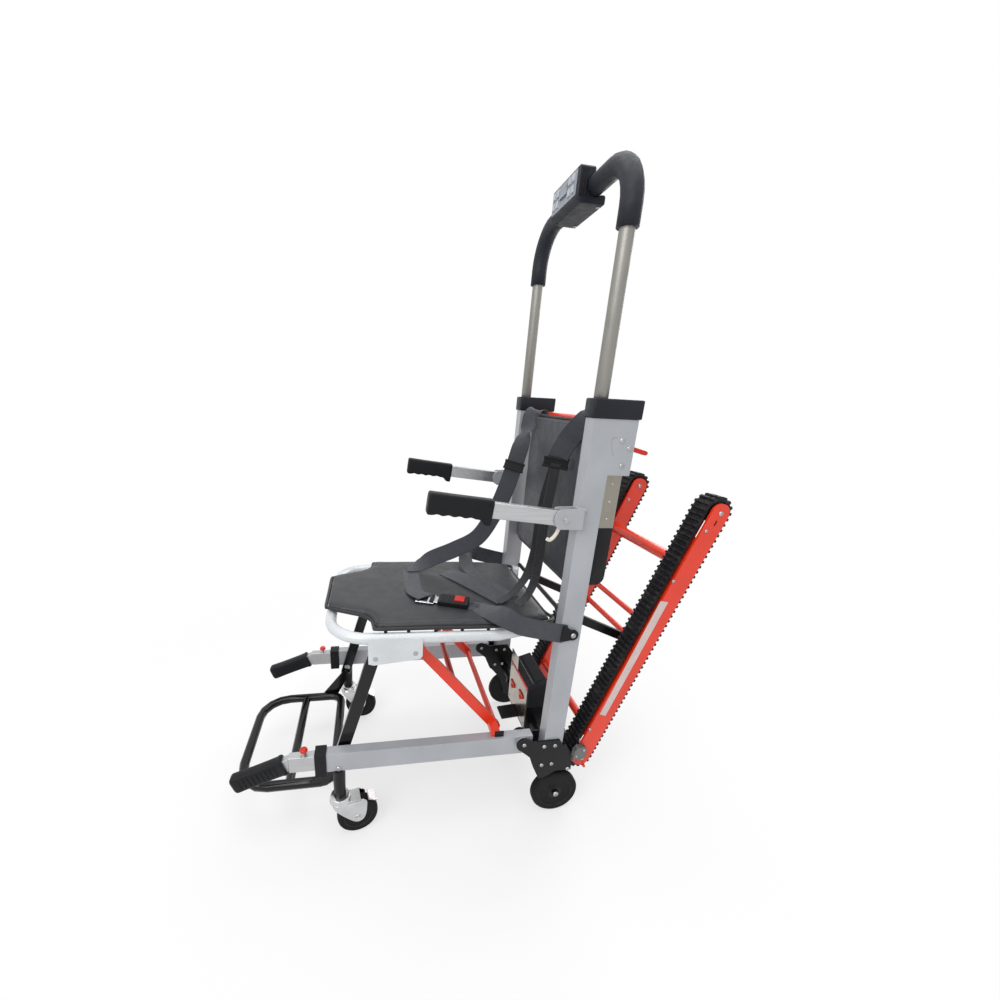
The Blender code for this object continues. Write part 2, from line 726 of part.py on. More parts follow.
def handle_path(low):
    bend = HANDLE_BEND
    centre = (POST_X - bend, HANDLE_TOP - bend)
    half = [(POST_X, low), *arc(centre, bend, 0, 90, 8)]
    outline = half + [(-x, z) for x, z in reversed(half)]
    return [BACK @ Vector((x, POST_DEPTH, z)) for x, z in outline]


def build_handle(frame):
    body = make_body("push_handle", (0, *back_point(POST_DEPTH, UPRIGHT_TOP)), frame)
    finish("handle_tube", tube(handle_path(POST_LOW), POST_RADIUS), body, ALUMINIUM, smooth=True)
    foam = finish("handle_foam", tube(handle_path(FOAM_LOW), FOAM_RADIUS), body, FOAM, smooth=True)
    cut(foam, tube(handle_path(FOAM_LOW - 0.02), POST_RADIUS + GAP))
    outline = (
        (BOX_FRONT, BOX_LOW + BOX_CHAMFER), (BOX_FRONT + BOX_CHAMFER, BOX_LOW),
        (BOX_SHELF_REAR, BOX_LOW), (BOX_SHELF_REAR, BOX_SHELF_TOP), (BOX_REAR, BOX_SHELF_TOP),
        (BOX_REAR, BOX_TOP), (BOX_FRONT, BOX_TOP),
    )
    box_mesh = sheet([outline], -BOX_HALF_LENGTH, BOX_HALF_LENGTH)
    control = finish("control_box", placed(box_mesh, BACK), body, BLACK_PLASTIC)
    soften(control, BOX_EDGE, 1)
    channel = cross_rod(
        (POST_DEPTH, HANDLE_TOP), FOAM_RADIUS + GAP, -2 * BOX_HALF_LENGTH, 2 * BOX_HALF_LENGTH, 20
    )
    cut(control, placed(channel, BACK))
    build_rocker(body)


def build_rocker(handle):
    width, depth, height = ROCKER_SIZE
    pivot = (BOX_FRONT - GAP, ROCKER_HEIGHT)
    body = make_body("drive_switch", (0, *back_point(*pivot)), handle)
    reach = pivot[0] - depth
    notch = depth / 3
    outline = (
        (pivot[0] - notch, ROCKER_HEIGHT - height / 2), (reach, ROCKER_HEIGHT - height / 2),
        (reach + notch, ROCKER_HEIGHT), (reach, ROCKER_HEIGHT + height / 2),
        (pivot[0] - notch, ROCKER_HEIGHT + height / 2), (pivot[0], ROCKER_HEIGHT),
    )
    mesh = sheet([outline], -width / 2, width / 2)
    finish("rocker_switch", placed(mesh, BACK), body, GREY_PLASTIC)


def build_levers(frame):
    middle = UPRIGHT_INNER_X + UPRIGHT_WIDTH / 2
    pivot_depth = HEAD_DEPTH + GAP + LEVER_THICK / 2
    for side, tag in SIDES:
        body = make_body(
            f"handle_lock_{tag}", (side * middle, *back_point(pivot_depth, LEVER_HEIGHT)), frame
        )
        end = (pivot_depth + LEVER_LENGTH, LEVER_HEIGHT - LEVER_LENGTH / 4)
        outline = link_outline((pivot_depth, LEVER_HEIGHT), end, LEVER_THICK / 2, 6)
        mesh = sheet([outline], *mirrored(middle - LEVER_WIDTH / 2, middle + LEVER_WIDTH / 2, side))
        finish(f"handle_lever_{tag}", placed(mesh, BACK), body, RED_PLASTIC)


def grip_outline():
    """Side view of the moulded armrest grip, with finger scallops underneath."""
    start = ARM_BAR_LENGTH + GAP
    top = [(GRIP_END - GRIP_NOSE_TOP, GRIP_HALF_HEIGHT * 0.9), (start, GRIP_HALF_HEIGHT)]
    span = GRIP_END - GRIP_NOSE_UNDER - start
    steps = 4 * GRIP_FINGERS
    under = []
    for step in range(steps + 1):
        wave = math.cos(2 * math.pi * GRIP_FINGERS * step / steps)
        under.append((start + span * step / steps, -GRIP_HALF_HEIGHT + GRIP_SCALLOP * (1 - wave) / 2))
    nose = [(GRIP_END, -GRIP_HALF_HEIGHT * 0.4), (GRIP_END, GRIP_HALF_HEIGHT * 0.5)]
    return top + under + nose


def build_arms(frame):
    for side, tag in SIDES:
        body = make_body(f"armrest_{tag}", (side * ARM_X, *ARM_PIVOT), frame)
        turned = Matrix.Translation((side * ARM_X, *ARM_PIVOT)) @ Matrix.Rotation(-ARM_RISE, 4, "X")
        forward = turned @ Matrix.Diagonal((1, -1, 1, 1))
        bar_mesh = box(
            (-ARM_WIDTH / 2, -ARM_TAIL, -ARM_HALF_HEIGHT), (ARM_WIDTH / 2, ARM_BAR_LENGTH, ARM_HALF_HEIGHT)
        )
        bar = finish(f"arm_bar_{tag}", placed_mirrored(bar_mesh, forward), body, ALUMINIUM)
        half = (ARM_TONGUE_WIDTH / 2, ARM_TONGUE_HALF_HEIGHT)
        tongue = box(
            (-half[0], ARM_BAR_LENGTH - JOIN_OVERLAP, -half[1]), (half[0], ARM_TONGUE_LENGTH, half[1])
        )
        join(bar, placed_mirrored(tongue, forward))
        grip_mesh = sheet([grip_outline()], -GRIP_WIDTH / 2, GRIP_WIDTH / 2)
        grip = finish(f"arm_grip_{tag}", placed_mirrored(grip_mesh, forward), body, RUBBER)
        soften(grip, GRIP_EDGE, 1, math.radians(60))
        pocket = box(
            (-half[0] - GAP, ARM_BAR_LENGTH - JOIN_OVERLAP, -half[1] - GAP),
            (half[0] + GAP, ARM_TONGUE_LENGTH + GAP, half[1] + GAP),
        )
        cut(grip, placed_mirrored(pocket, forward))


def placed_mirrored(mesh, matrix):
    """Moves a mesh by a mirroring matrix and turns its faces outwards again."""
    mesh.transform(matrix)
    mesh.flip_normals()
    return mesh


def build_brackets(frame):
    inner_x = (UPRIGHT_INNER_X - GAP - PLATE_THICK, UPRIGHT_INNER_X - GAP)
    outer_x = (UPRIGHT_OUTER_X + GAP, UPRIGHT_OUTER_X + GAP + PLATE_THICK)
    ear = arc(PIVOT_A, EAR_RADIUS, 250, 80, 8)
    axle = WHEEL_CENTRE
    throat = [BRACKET_NECK, BRACKET_THROAT]
    top = ear + [
        (BRACKET_NOTCH_Y, BRACKET_TOP), (BRACKET_TOP_REAR, BRACKET_TOP), (BRACKET_REAR, BRACKET_REAR_TOP),
        (BRACKET_REAR, BRACKET_REAR_LOW),
    ]
    tip = [(BRACKET_TIP_REAR, BRACKET_TIP_LOW), (BRACKET_TIP_FRONT, BRACKET_TIP_LOW)]
    outer = top + [BRACKET_ARCH] + tip + throat
    rear_hip = (axle[0] + AXLE_LOBE_RADIUS, BRACKET_HIP)
    front_hip = (axle[0] - 2 * AXLE_LOBE_RADIUS, BRACKET_HIP)
    inner = top + [rear_hip, *arc(axle, AXLE_LOBE_RADIUS, 20, -200, 8), front_hip] + throat
    hub_x = WHEEL_INNER_X + WHEEL_WIDTH + WHEEL_HUB_PROUD
    for side, tag in SIDES:
        bracket = finish(f"bracket_{tag}", sheet([outer], *mirrored(*outer_x, side)), frame, BLACK_METAL)
        web_x = (inner_x[1] - JOIN_BITE, outer_x[0] + JOIN_BITE)
        web = sided_box(side, web_x, BRACKET_WEB_Y, BRACKET_WEB_Z)
        inner_plate = sheet([inner], *mirrored(*inner_x, side))
        head_x = hub_x + GAP
        pin = cross_rod(axle, AXLE_RADIUS, side * (inner_x[1] - JOIN_BITE), side * (head_x + JOIN_BITE))
        head = cross_rod(axle, AXLE_HEAD_RADIUS, side * head_x, side * (head_x + AXLE_HEAD_THICK), 6)
        join(bracket, web, inner_plate, pin, head)
        build_rear_wheel(frame, side, tag, inner_x[1] + GAP, hub_x)


def build_rear_wheel(frame, side, tag, hub_low, hub_high):
    middle = side * (WHEEL_INNER_X + WHEEL_WIDTH / 2)
    body = make_body(f"rear_wheel_{tag}_body", (middle, *WHEEL_CENTRE), frame)
    low, high = WHEEL_INNER_X, WHEEL_INNER_X + WHEEL_WIDTH
    bore = AXLE_RADIUS + GAP
    web_low, web_high = low + WHEEL_WEB_INSET, high - WHEEL_WEB_INSET
    round_off = WHEEL_SHOULDER
    profile = (
        (hub_low, bore), (hub_low, WHEEL_HUB_RADIUS), (web_low, WHEEL_HUB_RADIUS),
        (web_low, WHEEL_RIM_RADIUS),
        (low, WHEEL_RIM_RADIUS), (low, WHEEL_RADIUS - round_off), (low + round_off, WHEEL_RADIUS),
        (high - round_off, WHEEL_RADIUS), (high, WHEEL_RADIUS - round_off), (high, WHEEL_RIM_RADIUS),
        (web_high, WHEEL_RIM_RADIUS), (web_high, WHEEL_HUB_RADIUS), (hub_high, WHEEL_HUB_RADIUS * 0.7),
        (hub_high, bore),
    )
    mesh = lathe([(side * along, radius) for along, radius in profile], 32)
    mesh.transform(Matrix.Translation((0, *WHEEL_CENTRE)))
    finish(f"rear_wheel_{tag}", mesh, body, RUBBER)


def build_rails(base):
    cavity = (CARRY_WIDTH / 2 + GAP, CARRY_HEIGHT / 2 + GAP)
    for side, tag in SIDES:
        rail = finish(
            f"rail_{tag}",
            sided_box(side, (RAIL_INNER_X, RAIL_OUTER_X), (RAIL_FRONT, RAIL_REAR), (RAIL_LOW, RAIL_TOP)),
            base, SILVER,
        )
        boss = cross_rod(PIVOT_A, RAIL_BOSS_RADIUS, side * (RAIL_OUTER_X - JOIN_BITE), side * UPRIGHT_OUTER_X)
        leg_face = LEG_INNER_X + LEG_THICK + GAP
        pin = cross_rod(PIVOT_C, RAIL_PIN_RADIUS, side * leg_face, side * (RAIL_INNER_X + RAIL_PIN_BITE))
        join(rail, boss, pin)
        cut(rail, sided_box(
            side, (RAIL_X - cavity[0], RAIL_X + cavity[0]),
            (RAIL_FRONT - CUT_ROOM, CARRY_REAR + CARRY_END_ROOM),
            (RAIL_Z - cavity[1], RAIL_Z + cavity[1]),
        ))
        build_collar(base, side, tag, cavity)
        build_carry(base, side, tag)


def build_collar(base, side, tag, cavity):
    half = COLLAR_WIDTH / 2
    collar = finish(
        f"collar_{tag}",
        sided_box(
            side, (RAIL_X - half, RAIL_X + half), (COLLAR_FRONT, COLLAR_REAR), (COLLAR_LOW, COLLAR_TOP)
        ),
        base, BLACK_PLASTIC,
    )
    rail_hole = sided_box(
        side, (RAIL_INNER_X - GAP, RAIL_OUTER_X + GAP), (RAIL_FRONT - GAP, COLLAR_REAR + CUT_ROOM),
        (RAIL_LOW - GAP, RAIL_TOP + GAP),
    )
    carry_hole = sided_box(
        side, (RAIL_X - cavity[0], RAIL_X + cavity[0]), (COLLAR_FRONT - CUT_ROOM, RAIL_FRONT + JOIN_BITE),
        (RAIL_Z - cavity[1], RAIL_Z + cavity[1]),
    )
    cut(collar, rail_hole, carry_hole)


def build_knob(carry, side, tag):
    foot = RAIL_Z + CARRY_HEIGHT / 2 + GAP
    body = make_body(f"lock_knob_{tag}_body", (side * RAIL_X, KNOB_Y, foot), carry)
    ball = foot + KNOB_HEIGHT - KNOB_RADIUS
    profile = [(foot, 0.0), (foot, KNOB_STEM_RADIUS), *[
        (ball + KNOB_RADIUS * math.sin(math.radians(angle)), KNOB_RADIUS * math.cos(math.radians(angle)))
        for angle in (-55, -25, 0, 30, 60, 90)
    ]]
    mesh = lathe(profile, 14, closed=False)
    stand_up = Matrix.Rotation(math.radians(-90), 4, "Y")
    mesh.transform(Matrix.Translation((side * RAIL_X, KNOB_Y, 0)) @ stand_up)
    finish(f"lock_knob_{tag}", mesh, body, RED_PLASTIC, smooth=True)


def build_carry(base, side, tag):
    body = make_body(f"carry_{tag}", (side * RAIL_X, CARRY_BEND_Y, RAIL_Z), base)
    low, high = RAIL_Z - CARRY_HEIGHT / 2, RAIL_Z + CARRY_HEIGHT / 2
    half = CARRY_WIDTH / 2
    carry = finish(
        f"carry_tube_{tag}",
        sided_box(side, (RAIL_X - half, RAIL_X + half), (CARRY_BEND_Y, CARRY_REAR), (low, high)),
        body, ALUMINIUM,
    )
    bent = Matrix.Translation((side * RAIL_X, CARRY_BEND_Y, RAIL_Z)) @ Matrix.Rotation(CARRY_DROP, 4, "X")
    core = (CARRY_CORE_WIDTH / 2, CARRY_CORE_HEIGHT / 2)
    core_mesh = box((-core[0], -CARRY_TIP, -core[1]), (core[0], CARRY_CORE_BITE, core[1]))
    join(carry, placed(core_mesh, bent))
    grip_half = (CARRY_GRIP_WIDTH / 2, CARRY_GRIP_HEIGHT / 2)
    end = -CARRY_GRIP_START - CARRY_GRIP_LENGTH
    grip_mesh = box((-grip_half[0], end, -grip_half[1]), (grip_half[0], -CARRY_GRIP_START, grip_half[1]))
    grip = finish(f"carry_grip_{tag}", placed(grip_mesh, bent), body, RUBBER)
    soften(grip, CARRY_GRIP_EDGE, 3)
    pocket = box(
        (-core[0] - GAP, -CARRY_TIP - GAP, -core[1] - GAP), (core[0] + GAP, CARRY_CORE_BITE, core[1] + GAP)
    )
    cut(grip, placed(pocket, bent))
    build_knob(body, side, tag)


def build_castors(base):
    axle = (CASTER_TRAIL, CASTER_RADIUS)
    crown = CASTER_CROWN_LOW
    tail, tail_z = BRAKE_PIVOT[0] - GAP, BRAKE_PIVOT[1]
    cheek = [
        (-CASTER_CHEEK_FRONT, crown + CASTER_CHEEK_RISE), (-CASTER_CHEEK_FRONT, crown - CASTER_CHEEK_DROP),
        *arc(axle, CASTER_CHEEK_RADIUS, 200, 340, 6), (tail - 0.004, tail_z - 0.008),
        (tail, tail_z - 0.005), (tail, tail_z + 0.002),
        (CASTER_TRAIL, crown - CASTER_CHEEK_DROP), (CASTER_CHEEK_FRONT, crown + CASTER_CHEEK_RISE),
    ]
    stem_top = RAIL_LOW - GAP
    stem = (
        (crown, 0.0), (crown, CASTER_CROWN_RADIUS), (CASTER_CROWN_TOP, CASTER_CROWN_RADIUS),
        (CASTER_CROWN_TOP, CASTER_STEM_LOW_RADIUS), (stem_top, CASTER_STEM_TOP_RADIUS), (stem_top, 0.0),
    )
    for side, tag in SIDES:
        spot = (side * CASTER_X, CASTER_Y, 0)
        swivel = Matrix.Translation(spot) @ Matrix.Rotation(side * CASTER_TURN, 4, "Z")
        body = make_body(f"castor_{tag}", (spot[0], spot[1], CASTER_CROWN_TOP), base)
        upright_stem = lathe(stem, 20, closed=False)
        upright_stem.transform(Matrix.Rotation(math.radians(-90), 4, "Y"))
        fork = finish(f"castor_fork_{tag}", placed(upright_stem, swivel), body, CHROME)
        for way in (1, -1):
            join(fork, placed(sheet([cheek], *mirrored(CASTER_CHEEK_IN, CASTER_CHEEK_OUT, way)), swivel))
        pin_end = CASTER_CHEEK_OUT + CASTER_PIN_PROUD
        join(fork, placed(cross_rod(axle, CASTER_AXLE_RADIUS, -pin_end, pin_end), swivel))
        build_castor_wheel(body, tag, swivel, axle)
        build_brake(body, tag, swivel)


def build_castor_wheel(castor, tag, swivel, axle):
    centre = swivel @ Vector((0, *axle))
    body = make_body(f"castor_wheel_{tag}_body", tuple(centre), castor)
    half = CASTER_WIDTH / 2
    hub = CASTER_CHEEK_IN - GAP
    bore = CASTER_AXLE_RADIUS + GAP
    round_off = CASTER_SHOULDER
    web = half - CASTER_WEB_INSET
    right_half = [
        (hub, bore), (hub, CASTER_HUB_RADIUS), (web, CASTER_HUB_RADIUS), (web, CASTER_RIM_RADIUS),
        (half, CASTER_RIM_RADIUS), (half, CASTER_RADIUS - round_off), (half - round_off, CASTER_RADIUS),
    ]
    profile = right_half + [(-along, radius) for along, radius in reversed(right_half)]
    mesh = lathe(profile, 28)
    mesh.transform(swivel @ Matrix.Translation((0, *axle)))
    finish(f"castor_wheel_{tag}", mesh, body, RUBBER)


def build_brake(castor, tag, swivel):
    body = make_body(f"castor_brake_{tag}_body", tuple(swivel @ Vector((0, *BRAKE_PIVOT))), castor)
    tab = box(
        (-BRAKE_WIDTH / 2, 0, -BRAKE_THICK / 2), (BRAKE_WIDTH / 2, BRAKE_LENGTH, BRAKE_THICK / 2)
    )
    tilt = Matrix.Translation((0, *BRAKE_PIVOT)) @ Matrix.Rotation(-BRAKE_DROP, 4, "X")
    brake = finish(f"castor_brake_{tag}", placed(tab, swivel @ tilt), body, CHROME)
    soften(brake, BRAKE_EDGE, 1)


def seat_tube_path():
    """Centre line of the seat tube from the left pivot round the front to the right pivot."""
    mid_bend = (SEAT_TAIL_BEND + SEAT_WIDE_BEND) / 2
    corner = (SEAT_TUBE_X - SEAT_CORNER, SEAT_FRONT_REACH - SEAT_CORNER)
    half = [
        (SEAT_TAIL_X, SEAT_TAIL_REACH), (SEAT_TAIL_X, SEAT_TAIL_BEND),
        ((SEAT_TAIL_X + SEAT_TUBE_X) / 2, mid_bend), (SEAT_TUBE_X, SEAT_WIDE_BEND),
        *arc(corner, SEAT_CORNER, 0, 90, 8),
    ]
    outline = half + [(-x, reach) for x, reach in reversed(half)]
    return [SEAT @ Vector((x, -reach, 0)) for x, reach in outline]


def build_seat(frame):
    body = make_body("seat", (0, *PIVOT_B), frame)
    seat = finish("seat_frame", tube(seat_tube_path(), SEAT_TUBE_RADIUS), body, ALUMINIUM)
    lip = SEAT_PLATE_LIP
    plate = (
        (PIVOT_D[0] - lip, SEAT_PLATE_FRONT_TOP), (PIVOT_D[0] - lip, PIVOT_D[1] - lip * 0.75),
        (PIVOT_D[0] - lip * 0.25, PIVOT_D[1] - lip), (PIVOT_E[0] + lip * 0.6, PIVOT_E[1] - lip),
        (PIVOT_E[0] + lip, PIVOT_E[1] - lip / 2), (PIVOT_E[0] + lip, SEAT_PLATE_REAR_TOP),
    )
    plate_x = (SEAT_PLATE_X, SEAT_PLATE_X + PLATE_THICK)
    leg_face = LEG_INNER_X + LEG_THICK + GAP
    strut_face = STRUT_X + STRUT_THICK / 2 + GAP
    for side, _ in SIDES:
        boss = cross_rod(
            PIVOT_B, SEAT_BOSS_RADIUS, side * (SEAT_TAIL_X - JOIN_OVERLAP), side * (UPRIGHT_INNER_X - GAP)
        )
        leg_pin = cross_rod(PIVOT_D, SEAT_PIN_RADIUS, side * leg_face, side * (SEAT_PLATE_X + JOIN_BITE))
        strut_pin = cross_rod(PIVOT_E, SEAT_PIN_RADIUS, side * strut_face, side * (SEAT_PLATE_X + JOIN_BITE))
        join(seat, sheet([plate], *mirrored(*plate_x, side)), boss, leg_pin, strut_pin)
    build_pad(body)
    build_lap_belts(body)
    build_legs(body)
    build_strut(body)


def build_pad(seat):
    waist_x, waist = PAD_WAIST
    turn, sweep = PAD_TURN, PAD_SWEEP
    half = [
        (PAD_REAR_HALF_WIDTH, PAD_REAR_REACH), (PAD_HALF_WIDTH, SEAT_WIDE_BEND),
        (PAD_HALF_WIDTH, PAD_NOTCH_REACH - turn), (PAD_HALF_WIDTH - turn, PAD_NOTCH_REACH),
        (PAD_SHOULDER_X, PAD_NOTCH_REACH + turn / 2), (waist_x + sweep, waist - 2 * sweep), (waist_x, waist),
        (PAD_FRONT_HALF_WIDTH + sweep, PAD_FRONT_REACH - 2 * sweep),
        (PAD_FRONT_HALF_WIDTH, PAD_FRONT_REACH - turn / 2), (PAD_FRONT_HALF_WIDTH - turn, PAD_FRONT_REACH),
    ]
    outline = half + [(-x, reach) for x, reach in reversed(half)]
    mesh = sheet([[(x, -reach) for x, reach in outline]], PAD_LEVEL, PAD_LEVEL + PAD_THICK, Matrix())
    pad = finish("seat_pad", placed(mesh, SEAT), seat, CLOTH)
    soften(pad, PAD_EDGE)
    top = PAD_LEVEL + PAD_THICK
    channel = box(
        (-2 * PAD_HALF_WIDTH, -PAD_CHANNEL_REACH - PAD_CHANNEL_WIDTH / 2, top - PAD_CHANNEL_DEPTH),
        (2 * PAD_HALF_WIDTH, -PAD_CHANNEL_REACH + PAD_CHANNEL_WIDTH / 2, top + CUT_ROOM),
    )
    cut(pad, placed(channel, SEAT))


def buckle_frame():
    """The buckle lies on the seat, its length turned a little from the fore-and-aft line."""
    return SEAT @ Matrix.Translation((*BUCKLE_SPOT, 0)) @ Matrix.Rotation(BUCKLE_TURN, 4, "Z")


def build_lap_belts(seat):
    flat = PAD_LEVEL + PAD_THICK + STRAP_RISE + GAP
    beside = UPRIGHT_OUTER_X + STRAP_RISE
    runs = {
        1: (
            (beside, 0.003, 0.012, (0, 0, 1)), (beside, 0.060, 0.024255, (0, 0, 1)),
            (beside, 0.114, 0.035865, (0, -0.2395, 1)), (0.2255, 0.132, 0.0415, (-0.05, 0, 1)),
            (0.2135, 0.150, 0.0455, (-0.45, -0.15, 0.85)), (0.190, 0.168, 0.0455, (-0.6, -0.45, 0.6)),
            (0.160, 0.182, 0.0400, (-0.7, -0.65, 0.3)), (0.136, 0.190, flat + 0.0072, (-0.8, -0.6, 0.22)),
            (0.11711, 0.1985, flat + 0.0028, (-0.95, -0.31, 0)), (0.113847, 0.2085, flat, (-0.95, -0.31, 0)),
            (0.1114, 0.2160, flat, (-0.95, -0.31, 0)),
        ),
        -1: (
            (beside, 0.003, 0.012, (0, 0, 1)), (beside, 0.060, 0.025395, (0, 0, 1)),
            (beside, 0.112, 0.037615, (0, -0.2589, 1)), (0.2250, 0.128, 0.0430, (0.1, 0, 1)),
            (0.206, 0.146, 0.0480, (0.3, 0.2, 0.9)), (0.170, 0.162, 0.0430, (0.4, 0.7, 0.6)),
            (0.120, 0.172, 0.0360, (0.35, 0.9, 0.25)), (0.070, 0.1740, flat + 0.009, (-0.075, 1, 0.30)),
            (0.020, 0.17025, flat, (-0.075, 1, 0)), (-0.040, 0.16575, flat, (-0.075, 1, 0)),
            (-0.090, 0.1620, flat, (-0.075, 1, 0)),
        ),
    }
    for side, tag in SIDES:
        stations = [
            (SEAT @ Vector((side * x, -reach, level)), SEAT.to_3x3() @ Vector((side * ax, -ay, az)))
            for x, reach, level, (ax, ay, az) in runs[side]
        ]
        width = BELT_STRAP_WIDTH * 0.9
        finish(f"lap_belt_{tag}", ribbon(stations, width, STRAP_THICK), seat, WEBBING)
    low = PAD_LEVEL + PAD_THICK + GAP
    face = low + BUCKLE_THICK
    wide, long = BUCKLE_HALF_WIDTH, BUCKLE_HALF_LENGTH
    shell = box((-wide, -long, low), (wide, long, face))
    buckle = finish("belt_buckle", placed(shell, buckle_frame()), seat, CHROME)
    soften(buckle, BUCKLE_EDGE)
    build_button(seat, buckle, face)


def button_box(spot, rise, grow):
    """A block as wide as the button, grown sideways, from below the buckle's face to a rise above it."""
    half = [size / 2 + grow for size in BUTTON_SIZE[:2]]
    x, y, face = spot
    depth = BUTTON_SIZE[2] - BUTTON_PROUD
    if grow:
        depth += BUTTON_TRAVEL + GAP
    return box((x - half[0], y - half[1], face - depth), (x + half[0], y + half[1], face + rise))


def build_button(seat, buckle, face):
    place, spot = buckle_frame(), (0, BUTTON_OFF_CENTRE, face)
    body = make_body("buckle_press", tuple(place @ Vector(spot)), seat)
    finish("buckle_button", placed(button_box(spot, BUTTON_PROUD, 0), place), body, RED_PLASTIC)
    cut(buckle, placed(button_box(spot, BUTTON_SIZE[2], GAP), place))


def leg_foot():
    """Pivot of the footrest at the lower end of the leg."""
    rise = Vector(PIVOT_D) - Vector(PIVOT_C)
    return tuple(Vector(PIVOT_C) - rise.normalized() * LEG_TAIL)


def build_legs(seat):
    body = make_body("front_legs", (0, *PIVOT_D), seat)
    outline = link_outline(leg_foot(), PIVOT_D, LEG_HALF_WIDTH)
    for side, tag in SIDES:
        x_range = mirrored(LEG_INNER_X, LEG_INNER_X + LEG_THICK, side)
        finish(f"front_leg_{tag}", sheet([outline], *x_range), body, BLACK_METAL)
    build_footrest(body)


def build_footrest(legs):
    pivot = leg_foot()
    body = make_body("footrest_fold", (0, *pivot), legs)
    tight, wide = FOOT_REAR_CORNER, FOOT_FRONT_CORNER
    rear = (FOOT_HALF_WIDTH - tight, FOOT_REAR - tight)
    front = (FOOT_HALF_WIDTH - wide, FOOT_FRONT + wide)
    loop = (
        arc(rear, tight, 0, 90, 4) + arc((-rear[0], rear[1]), tight, 90, 180, 4)
        + arc((-front[0], front[1]), wide, 180, 270, 4) + arc(front, wide, 270, 360, 4)
    )
    ring = tube([(x, y, FOOT_Z) for x, y in loop], FOOT_TUBE_RADIUS, 3, closed=True)
    rest = finish("footrest", ring, body, BLACK_METAL)
    reach = FOOT_HALF_WIDTH
    join(rest, cross_rod((FOOT_MIDDLE, FOOT_Z), FOOT_BAR_RADIUS, -reach, reach, 10))
    foot = FOOT_Z - GUSSET_BITE
    gusset = [
        (GUSSET_FRONT, foot), (GUSSET_REAR, foot), (pivot[0] + GUSSET_EYE, pivot[1]),
        *arc(pivot, GUSSET_EYE, 60, 150, 3),
    ]
    for side, _ in SIDES:
        boss_x = (side * (GUSSET_X + JOIN_BITE), side * (LEG_INNER_X - GAP))
        boss = cross_rod(pivot, FOOT_BOSS_RADIUS, *boss_x, 12)
        join(rest, sheet([gusset], *mirrored(GUSSET_X, GUSSET_X + GUSSET_THICK, side)), boss)


def build_strut(seat):
    body = make_body("fold_strut_body", (0, *PIVOT_E), seat)
    outline = link_outline(PIVOT_E, STRUT_FOOT, STRUT_HALF_WIDTH)
    half = STRUT_THICK / 2
    strut = finish("fold_strut", cross_rod(STRUT_FOOT, STRUT_TUBE_RADIUS, -STRUT_X, STRUT_X), body, RED)
    middle = Vector(PIVOT_E).lerp(Vector(STRUT_FOOT), STRUT_MIDDLE)
    join(strut, cross_rod(tuple(middle), STRUT_TUBE_RADIUS, -STRUT_X, STRUT_X))
    pad_low = RAIL_TOP + GAP
    run = Vector(STRUT_FOOT) - Vector(PIVOT_E)
    pad_z = pad_low + STRUT_PAD_HEIGHT / 2
    pad_y = PIVOT_E[0] + run.x * (pad_z - PIVOT_E[1]) / run.y
    for side, _ in SIDES:
        arm = sheet([outline], *mirrored(STRUT_X - half, STRUT_X + half, side))
        foot = sided_box(
            side, (STRUT_X, STRUT_X + STRUT_PAD_REACH),
            (pad_y - STRUT_PAD_HALF_LENGTH, pad_y + STRUT_PAD_HALF_LENGTH),
            (pad_low, pad_low + STRUT_PAD_HEIGHT),
        )
        join(strut, arm, foot)


def build_track(frame):
    body = make_body("track", (0, *DRIVE_AXIS), frame)
    half = TRACK_HALF_WIDTH
    hole = arc((0, 0), SHAFT_RADIUS + SHAFT_CLEARANCE, 0, 345, 23)
    stadium = arc((0, TRACK_LENGTH), half, 0, 180, 12) + arc((0, 0), half, 180, 360, 12)
    inner_x = (TRACK_INNER_X, TRACK_INNER_X + TRACK_PLATE_THICK)
    outer_x = (TRACK_OUTER_X - TRACK_PLATE_THICK, TRACK_OUTER_X)
    pieces = []
    for side, _ in SIDES:
        for x_range in (inner_x, outer_x):
            pieces.append(sheet([stadium, hole], *mirrored(*x_range, side)))
        beam_x = (inner_x[1] - JOIN_BITE, outer_x[0] + JOIN_BITE)
        pieces.append(sided_box(side, beam_x, (-BEAM_HALF_WIDTH, BEAM_HALF_WIDTH), (BEAM_LOW, BEAM_TOP)))
    tube_end = TRACK_INNER_X + JOIN_BITE
    for radius, rise, offset in TRACK_TUBES:
        pieces.append(cross_rod((offset, rise), radius, -tube_end, tube_end))
    frame_piece = finish("track_frame", placed(pieces[0], TRACK), body, RED)
    join(frame_piece, *[placed(piece, TRACK) for piece in pieces[1:]])
    build_track_belts(body)
    build_pulleys(frame, body)


def belt_point(tooth, radius):
    """A point of the belt, counted in teeth round the two pulleys from the foot of the rear run."""
    turn = math.pi * BELT_BASE_RADIUS
    run = tooth % BELT_TEETH * 2 * (TRACK_LENGTH + turn) / BELT_TEETH
    if run < TRACK_LENGTH:
        return radius, run
    if run < TRACK_LENGTH + turn:
        angle = (run - TRACK_LENGTH) / BELT_BASE_RADIUS
        return radius * math.cos(angle), TRACK_LENGTH + radius * math.sin(angle)
    if run < 2 * TRACK_LENGTH + turn:
        return -radius, 2 * TRACK_LENGTH + turn - run
    angle = math.pi + (run - 2 * TRACK_LENGTH - turn) / BELT_BASE_RADIUS
    return radius * math.cos(angle), radius * math.sin(angle)


